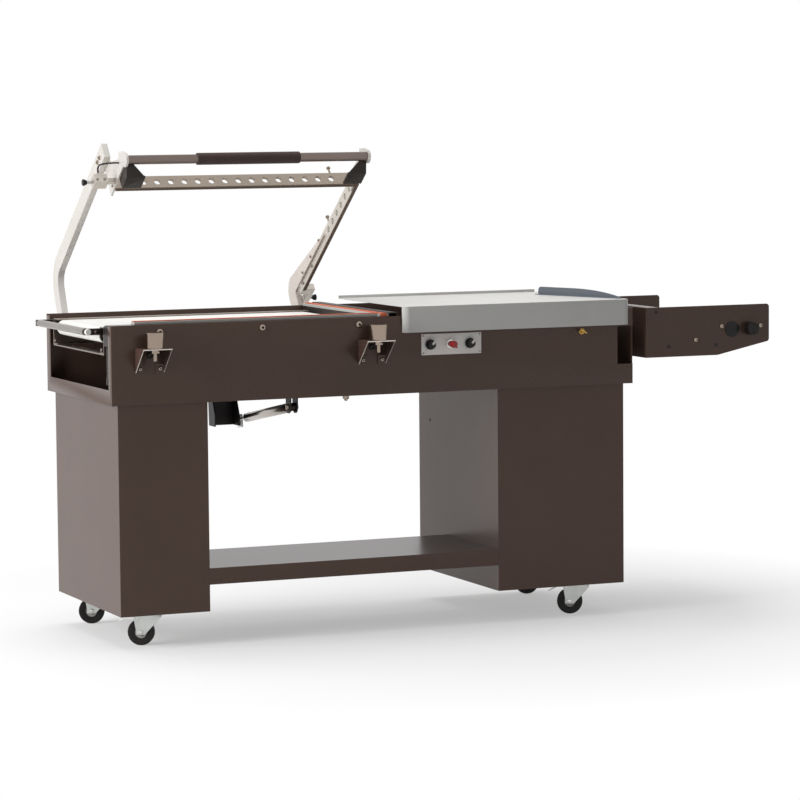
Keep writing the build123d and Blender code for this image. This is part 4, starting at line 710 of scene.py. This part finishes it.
# %% Red selector
SWITCH_X = 1028
SWITCH_BACK = PLATE_FACE - DIAL_GAP
SWITCH_REST = 45
LEVER_FOOT = 16
TIP_START = 12
TIP_SHARE = 0.45
BEZEL = [(8, 0), (14, 0), (14, 2), (12.4, 4.6), (9.2, 5.2), (8, 4.4), (8, 0)]
NECK = [(0, 0), (7, 0), (7, 14.6), (0, 14.6)]
GRIP = [(0, 14), (9.4, 14), (10, 14.8), (10, 31), (8.6, 33.4), (5, 34), (0, 34)]
switch_place = at(SWITCH_X, SWITCH_BACK, CONTROL_Z)
bezel = turned(BEZEL, at(SWITCH_X, PLATE_FACE, CONTROL_Z), FORWARD, 48)
finished_piece("selector_bezel", bezel, "chrome", "chassis")
finished_piece("selector_neck", turned(NECK, switch_place, FORWARD, 32), "chrome", "mode_switch")
lever = bar(15, 6, 16, 0)
for vert in lever.verts:
    if vert.co.x > TIP_START * MM:
        vert.co.y *= TIP_SHARE
lever = on_panel(lever, SWITCH_X, SWITCH_BACK - LEVER_FOOT, CONTROL_Z, SWITCH_REST)
selector = gathered([turned(GRIP, switch_place, FORWARD, 40), lever])
grip = finished_piece("selector_grip", selector, "red_plastic", "mode_switch")
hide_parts("mode_switch")
print("selector ready")

# %% [markdown]
# ### Scale marks
# Printed scales have a dark tick at each step round the dial. A tick is a very thin bar, turned to its
# step. The scale runs over the dial's travel of 140 degrees either way. Four screws hold the plate.
# A printed texture would blur close up, and it would need an image.

# %% Ticks and plate screws
TRAVEL = 140
STEPS = 10
SWITCH_MARKS = (-135, -90, -45)
PLATE_SCREWS_X = (943.5, 1121.5)
PLATE_SCREWS_Z = (803.5, 853.5)
ticks = []
for x in DIALS.values():
    for step in range(STEPS + 1):
        turn_to = -TRAVEL + 2 * TRAVEL * step / STEPS
        long = 4 if step % 5 == 0 else 2.6
        ticks.append(on_panel(bar(long, 0.7, 0.2, 17.2), x, PLATE_FACE, CONTROL_Z, turn_to - 90))
for turn_to in SWITCH_MARKS:
    ticks.append(on_panel(bar(4, 0.9, 0.2, 16), SWITCH_X, PLATE_FACE, CONTROL_Z, turn_to))
finished_piece("scale_ticks", gathered(ticks), "ink", "chassis")
plate_screws = [button_screw(at(x, PLATE_FACE, z), FORWARD, 6, 2)
                for x in PLATE_SCREWS_X for z in PLATE_SCREWS_Z]
finished_piece("plate_screws", gathered(plate_screws), "steel", "chassis")
print("ticks:", len(ticks))

# %% [markdown]
# ## Folded pad end
# The silicone strip of the side seal is longer than its bed. Its front end is folded down over the bed's
# end face and shows as a short red block. It is a bevelled bar that stands on that face.
# Bending the strip itself would change the CAD node's mesh, so a small piece is added to it.

# %% Silicone over the end of the side bed
SIDE_SEAL_X = 822
BED_END_Y = 2
PAD_END_Z = 919
pad_end = on_panel(bar(20, 9, 1.5, -10), SIDE_SEAL_X, BED_END_Y, PAD_END_Z, 0)
finished_piece("pad_end", pad_end, "silicone", "chassis")
print("pad end ready")

# %% [markdown]
# ## Quarter-turn fastener
# A brass quarter-turn fastener under the tray lets the operator open the panel by hand. It is a small
# stepped base with a winged bar across it.
# Both come from helpers above, because only their outlines are new.

# %% Brass fastener
FASTENER_X = 1452
FASTENER_Z = 850
base = turned([(0, 0), (9, 0), (9, 1.6), (6, 2.4), (5, 7), (0, 7)], at(FASTENER_X, 0, FASTENER_Z), FORWARD)
wing = on_panel(bar(24, 4.4, 8, -12), FASTENER_X, -6, FASTENER_Z, 25)
finished_piece("quarter_turn_fastener", gathered([base, wing]), "brass", "chassis")
print("fastener ready")

# %% [markdown]
# ## Seal bars and arms
# Headed pins stand on the bars' top edges and locate the film guard. Button screws join the arms, the end
# plates and the bars. All of them are placed on the closed head and swung up with it.
# Measured there, they lie square to the bars, and one matrix takes care of the angle.

# %% Pins, screws and shaft ends on the head
BAR_TOP = 969.3
PIN_PLACES = ((748, 29), (822, 274))
BEARINGS_X = (106, 784)
BEARING_FACE = 608
BOLT_OFFSET = 35
pin = [(0, -2), (3, -2), (3, 17), (5.5, 18), (6.2, 20), (5.5, 23), (3, 24.5), (0, 25)]
pins = [turned(pin, on_head(x, y, BAR_TOP), HEAD_UP, 24) for x, y in PIN_PLACES]
finished_piece("bar_pins", gathered(pins), "nickel", "head")
arm_screws = [button_screw(on_head(60, y, 1037), LEFT, 13, 5) for y in (26, 48)]
arm_screws += [button_screw(on_head(811, y, 960), LEFT, 9, 3.5) for y in (352, 436, 520)]
arm_screws += [button_screw(on_head(817, y, 940), LEFT, 9, 3.5) for y in (458, 548)]
arm_screws += [button_screw(on_head(79, 29, z), LEFT, 9, 3.5) for z in (940, 958)]
finished_piece("head_screws", gathered(arm_screws), "nickel", "head")
collar = [(10, 0), (16, 0), (17, 1), (17, 9), (16, 10), (10, 10), (10, 0)]
collars = [turned(collar, at(x, PIVOT_Y, PIVOT_Z), way, 40) for x, way in ((60, LEFT), (830, RIGHT))]
finished_piece("shaft_collars", gathered(collars), "steel", "head")
bearing_bolts = [hex_nut(at(x, BEARING_FACE, PIVOT_Z + side * BOLT_OFFSET), REARWARD, 13, 6)
                 for x in BEARINGS_X for side in (-1, 1)]
finished_piece("bearing_bolts", gathered(bearing_bolts), "steel", "chassis")
print("head fasteners:", len(pins + arm_screws + collars))

# %% [markdown]
# ## Wire clamps
# The hot wire is held in two clamps and pulled tight by a knob with a coil spring on its screw. The knob
# flares out to its end and has flutes for the fingers. The spring is a small circle spun round the screw
# while it is moved along it, which gives a helix.
# A curve with a round section could be used as well, but the spin gives a closed mesh straight away.

# %% Tension knobs, springs and clamp screws
KNOBS = {
    "left_tension_knob": (10, 3.5, 935.4, LEFT, 15),
    "rear_tension_knob": (858, 625, 939.3, RIGHT, 10),
}
WIRE = 0.6
COIL_RADIUS = 5
COIL_TURNS = 4
KNOB_FLUTES = (9.4, 18, 0.8)


def coil_spring(place, direction, length, turns):
    bm = bmesh.new()
    lean = Matrix.Translation((COIL_RADIUS * MM, 0, WIRE * MM)) @ Matrix.Rotation(pi / 2, 4, "X")
    ring = bmesh.ops.create_circle(bm, segments=8, radius=WIRE * MM, matrix=lean)
    loop = ring["verts"] + list({edge for vert in ring["verts"] for edge in vert.link_edges})
    steps = 20 * turns
    rise = Vector((0, 0, (length - 2 * WIRE) * MM / steps))
    bmesh.ops.spin(bm, geom=loop, axis=(0, 0, 1), cent=(0, 0, 0), dvec=rise, angle=2 * pi * turns,
                   steps=steps)
    bmesh.ops.holes_fill(bm, edges=bm.edges, sides=0)
    bmesh.ops.recalc_face_normals(bm, faces=bm.faces)
    return stood(bm, place, direction)


for node, (x, y, z, way, reach) in KNOBS.items():
    foot = on_head(x, y, z)
    flare = [(0, reach), (5.4, reach), (6, reach + 1), (9.4, reach + 8), (9.4, reach + 12), (8, reach + 13),
             (0, reach + 13)]
    fluted = turned(flare, foot, way, 72, KNOB_FLUTES)
    knob = finished_piece(node + "_grip", fluted, "black_plastic", node)
    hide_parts(node)
    screw = turned([(0, -13), (3, -13), (3, reach + 1), (0, reach + 1)], foot, way, 24)
    finished_piece(node + "_screw", screw, "chrome", node)
    finished_piece(node + "_spring", coil_spring(foot, way, reach, COIL_TURNS), "chrome", "head")
clamp_screws = [button_screw(on_head(x, -22, z), HEAD_FORWARD, 8, 3) for x, z in ((19, 927), (40, 927))]
clamp_screws += [button_screw(on_head(x, y, 947), HEAD_UP, 9, 4) for x, y in ((17, 2), (43, -12))]
clamp_screws += [button_screw(on_head(849, y, 950.3), HEAD_UP, 8, 3) for y in (578, 612)]
finished_piece("clamp_screws", gathered(clamp_screws), "steel", "head")
print("clamp pieces:", 3 * len(KNOBS) + 1)

# %% [markdown]
# ### Lead to the hot wire
# A short insulated lead rises from the left clamp and bows over into the end plate. It is one smooth
# spline through the points of its route, with a round section, and a lug holds it on the clamp.
# A swept mesh would look the same. A curve keeps its centre line, so the lead can be measured and bent.

# %% Terminal lead and its lug
LEAD_ROUTE = [(30, -8.4, 947), (30, -8.4, 978), (30, -56.4, 958), (79, -56.4, 958)]
LEAD_DIAMETER = 5.0
lead_curve = bpy.data.curves.new("lead_run", "CURVE")
lead_curve.dimensions = "3D"
lead_curve.bevel_depth = LEAD_DIAMETER / 2 * MM
lead_curve.bevel_resolution = 6
lead_curve.resolution_u = 24
lead_curve.use_fill_caps = True
run = lead_curve.splines.new("NURBS")
run.points.add(len(LEAD_ROUTE) - 1)
for point, place in zip(run.points, LEAD_ROUTE):
    point.co = (*on_head(*place), 1)
run.order_u = 3
run.use_endpoint_u = True
lead_curve.materials.append(FINISH["lead_black"])
lead = bpy.data.objects.new("lead_run", lead_curve)
bpy.context.scene.collection.objects.link(lead)
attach(lead, "head")
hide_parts("terminal_lead")
lead_start = on_head(*LEAD_ROUTE[0])
lug = [(2.6, 0), (6, 0), (6, 3), (4, 5), (4, 9), (2.6, 9), (2.6, 0)]
finished_piece("lead_lug", turned(lug, lead_start, HEAD_UP, 24), "chrome", "head")

# %% [markdown]
# ## Take-away end
# The outfeed roller turns on an axle with a white plastic cap at its front end. Screws hold its blocks to
# the belt's rails. Both are small turned forms, so they use the helpers that made the other fasteners.

# %% Roller cap and block screws
OUTFEED_X = -38
OUTFEED_Z = 893
BLOCK_SCREW_X = -14
BLOCK_FRONT = 94
BLOCK_REAR = 559
cap_profile = [(0, 0), (8.6, 0), (9, 1), (9, 8), (7.6, 9.4), (0, 9.4)]
cap = turned(cap_profile, at(OUTFEED_X, BLOCK_FRONT, OUTFEED_Z), FORWARD, 32)
finished_piece("outfeed_cap", cap, "white_plastic", "outfeed_roller")
block_screws = [button_screw(at(BLOCK_SCREW_X, BLOCK_FRONT, OUTFEED_Z), FORWARD, 9, 4)]
block_screws += [button_screw(at(x, BLOCK_REAR, OUTFEED_Z), REARWARD, 9, 4)
                 for x in (OUTFEED_X, BLOCK_SCREW_X)]
block_screws += [button_screw(at(3, y, 842), LEFT, 10, 4) for y in (92, 525)]
finished_piece("outfeed_screws", gathered(block_screws), "nickel", "chassis")
print("take-away end ready")

# %% [markdown]
# ## Film unwind
# The cradle's front plate has a black plug over a spare hole, three plated screws, and a knob that clamps
# the film stop. The knob is fluted, with a chrome base and a dished face. A small flat black disc further
# along stands for a hole: its black is painted shade. All of them are lathe profiles again.
# Round pieces differ only in outline, so a new list of points is all that each one needs.

# %% Unwind knob, plug and screws
KNOB_X = 2012
KNOB_Z = 840
STOP_FLUTES = (20, 12, 1.2)
PLUG_PLACE = (1954, 0, 839)
HOLE_SHADE_PLACE = (1698, 0, 898)
UNWIND_SCREWS = ((1918, 849), (2050, 847), (1830, 811))
stop_grip = [(0, 5.3), (17.6, 5.3), (20, 8), (20, 26), (18, 29), (14, 29.3), (12, 27), (0, 26)]
stop_base = [(0, 0.3), (14.2, 0.3), (15, 1), (15, 4.6), (14.2, 5.3), (0, 5.3)]
stop_place = at(KNOB_X, 0, KNOB_Z)
fluted = turned(stop_grip, stop_place, FORWARD, 96, STOP_FLUTES)
knob = finished_piece("film_stop_grip", fluted, "black_plastic", "unwind_knob")
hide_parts("unwind_knob")
base = turned(stop_base, stop_place, FORWARD, 48)
finished_piece("film_stop_base", base, "chrome", "unwind_knob")
shank = turned([(0, -7.5), (5, -7.5), (5, 0.5), (0, 0.5)], stop_place, FORWARD, 24)
finished_piece("film_stop_shank", shank, "steel", "unwind_knob")
plug = turned([(0, 0), (23, 0), (24, 0.8), (24, 1.8), (21, 3), (0, 3)], at(*PLUG_PLACE), FORWARD, 48)
finished_piece("unwind_plug", plug, "black_plastic", "chassis")
unwind_screws = [button_screw(at(x, 0, z), FORWARD, 14, 5) for x, z in UNWIND_SCREWS]
finished_piece("unwind_screws", gathered(unwind_screws), "nickel", "chassis")
# A flat black disc where the plate has a small hole: painted shade.
hole_shade = turned([(0, 0), (5, 0), (5, 0.5), (3, 0.8), (0, 0.5)], at(*HOLE_SHADE_PLACE), FORWARD, 24)
finished_piece("unwind_hole_shade", hole_shade, "black_plastic", "chassis")
print("unwind ready")

# %% [markdown]
# ## Casters
# A caster wheel is a dark rubber tyre on a grey moulded hub. Both are closed lathe profiles about the
# axle, and a nut closes each end of it. Each fork is turned its own way, as casters stand after a push.
# A torus would be quicker, but a caster's tread is flat.

# %% Tyres, hubs and nuts
CASTERS = {"front_left": (136, 80, 152), "rear_left": (136, 532, 158), "front_right": (1484, 80, 153),
           "rear_right": (1484, 532, -18)}
TRAIL = 32
AXLE_Z = 38
FORK_HALF = 17
TYRE = [(17, -9), (20, -10), (28, -10.6), (33, -12), (36.4, -11), (38, -8), (38, 8), (36.4, 11), (33, 12),
        (28, 10.6), (20, 10), (17, 9), (17, -9)]
HUB = [(4.05, -12), (9.6, -12), (10.4, -11), (11, -8), (15.4, -8), (17.2, -9.4), (17.2, 9.4), (15.4, 8),
       (11, 8), (10.4, 11), (9.6, 12), (4.05, 12), (4.05, -12)]
for name, (x, y, turned_by) in CASTERS.items():
    angle = radians(turned_by)
    centre = at(x + TRAIL * cos(angle), y + TRAIL * sin(angle), AXLE_Z)
    axle = Vector((-sin(angle), cos(angle), 0))
    wheel = name + "_wheel"
    tyre = finished_piece(name + "_tyre", turned(TYRE, centre, axle, 56), "caster_tyre", wheel)
    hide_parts(wheel)
    finished_piece(name + "_hub", turned(HUB, centre, axle, 48), "hub_grey", wheel)
    nuts = [hex_nut(centre + axle * side * FORK_HALF * MM, axle * side, 13, 5) for side in (-1, 1)]
    finished_piece(name + "_nuts", gathered(nuts), "chrome", name + "_fork")
print("casters:", len(CASTERS))

# %% [markdown]
# ## Head spring
# The gas spring under the chassis is a polished tube with a crimped end, a neck and a black eye. It is spun
# along the line from its anchor to the lever's pin, with a bore for the rod to slide in.
# A plain cylinder would lose the crimp and fill the rod's way.

# %% Gas spring tube and eye
SPRING_X = 600
ANCHOR = at(SPRING_X, 165, 650)
LEVER_PIN = at(SPRING_X, 598, 579)
CLEVIS_HALF = 12.3
spring_line = (LEVER_PIN - ANCHOR).normalized()
TUBE = [(0, 26), (12.6, 26), (14, 28), (14, 366), (12.8, 369), (12.8, 374), (13.6, 376), (12.6, 380),
        (4.2, 380), (4.2, 60), (0, 60)]
EYE = [(5.1, -8), (11, -8), (12, -7), (12, 7), (11, 8), (5.1, 8), (5.1, -8)]
barrel = turned(TUBE, ANCHOR, spring_line, 48)
tube = finished_piece("gas_spring_tube", barrel, "polished_tube", "spring_tube")
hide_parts("gas_spring_cylinder")
neck = turned([(0, 11), (6, 11), (6, 22), (10, 26.4), (0, 26.4)], ANCHOR, spring_line, 32)
eye = gathered([turned(EYE, ANCHOR, RIGHT, 40), neck])
finished_piece("gas_spring_eye", eye, "black_paint", "spring_tube")
anchor_nuts = [hex_nut(ANCHOR + way * CLEVIS_HALF * MM, way, 15, 6) for way in (LEFT, RIGHT)]
finished_piece("anchor_nuts", gathered(anchor_nuts), "nickel", "chassis")
print("gas spring", round((LEVER_PIN - ANCHOR).length / MM), "mm from pin to pin")
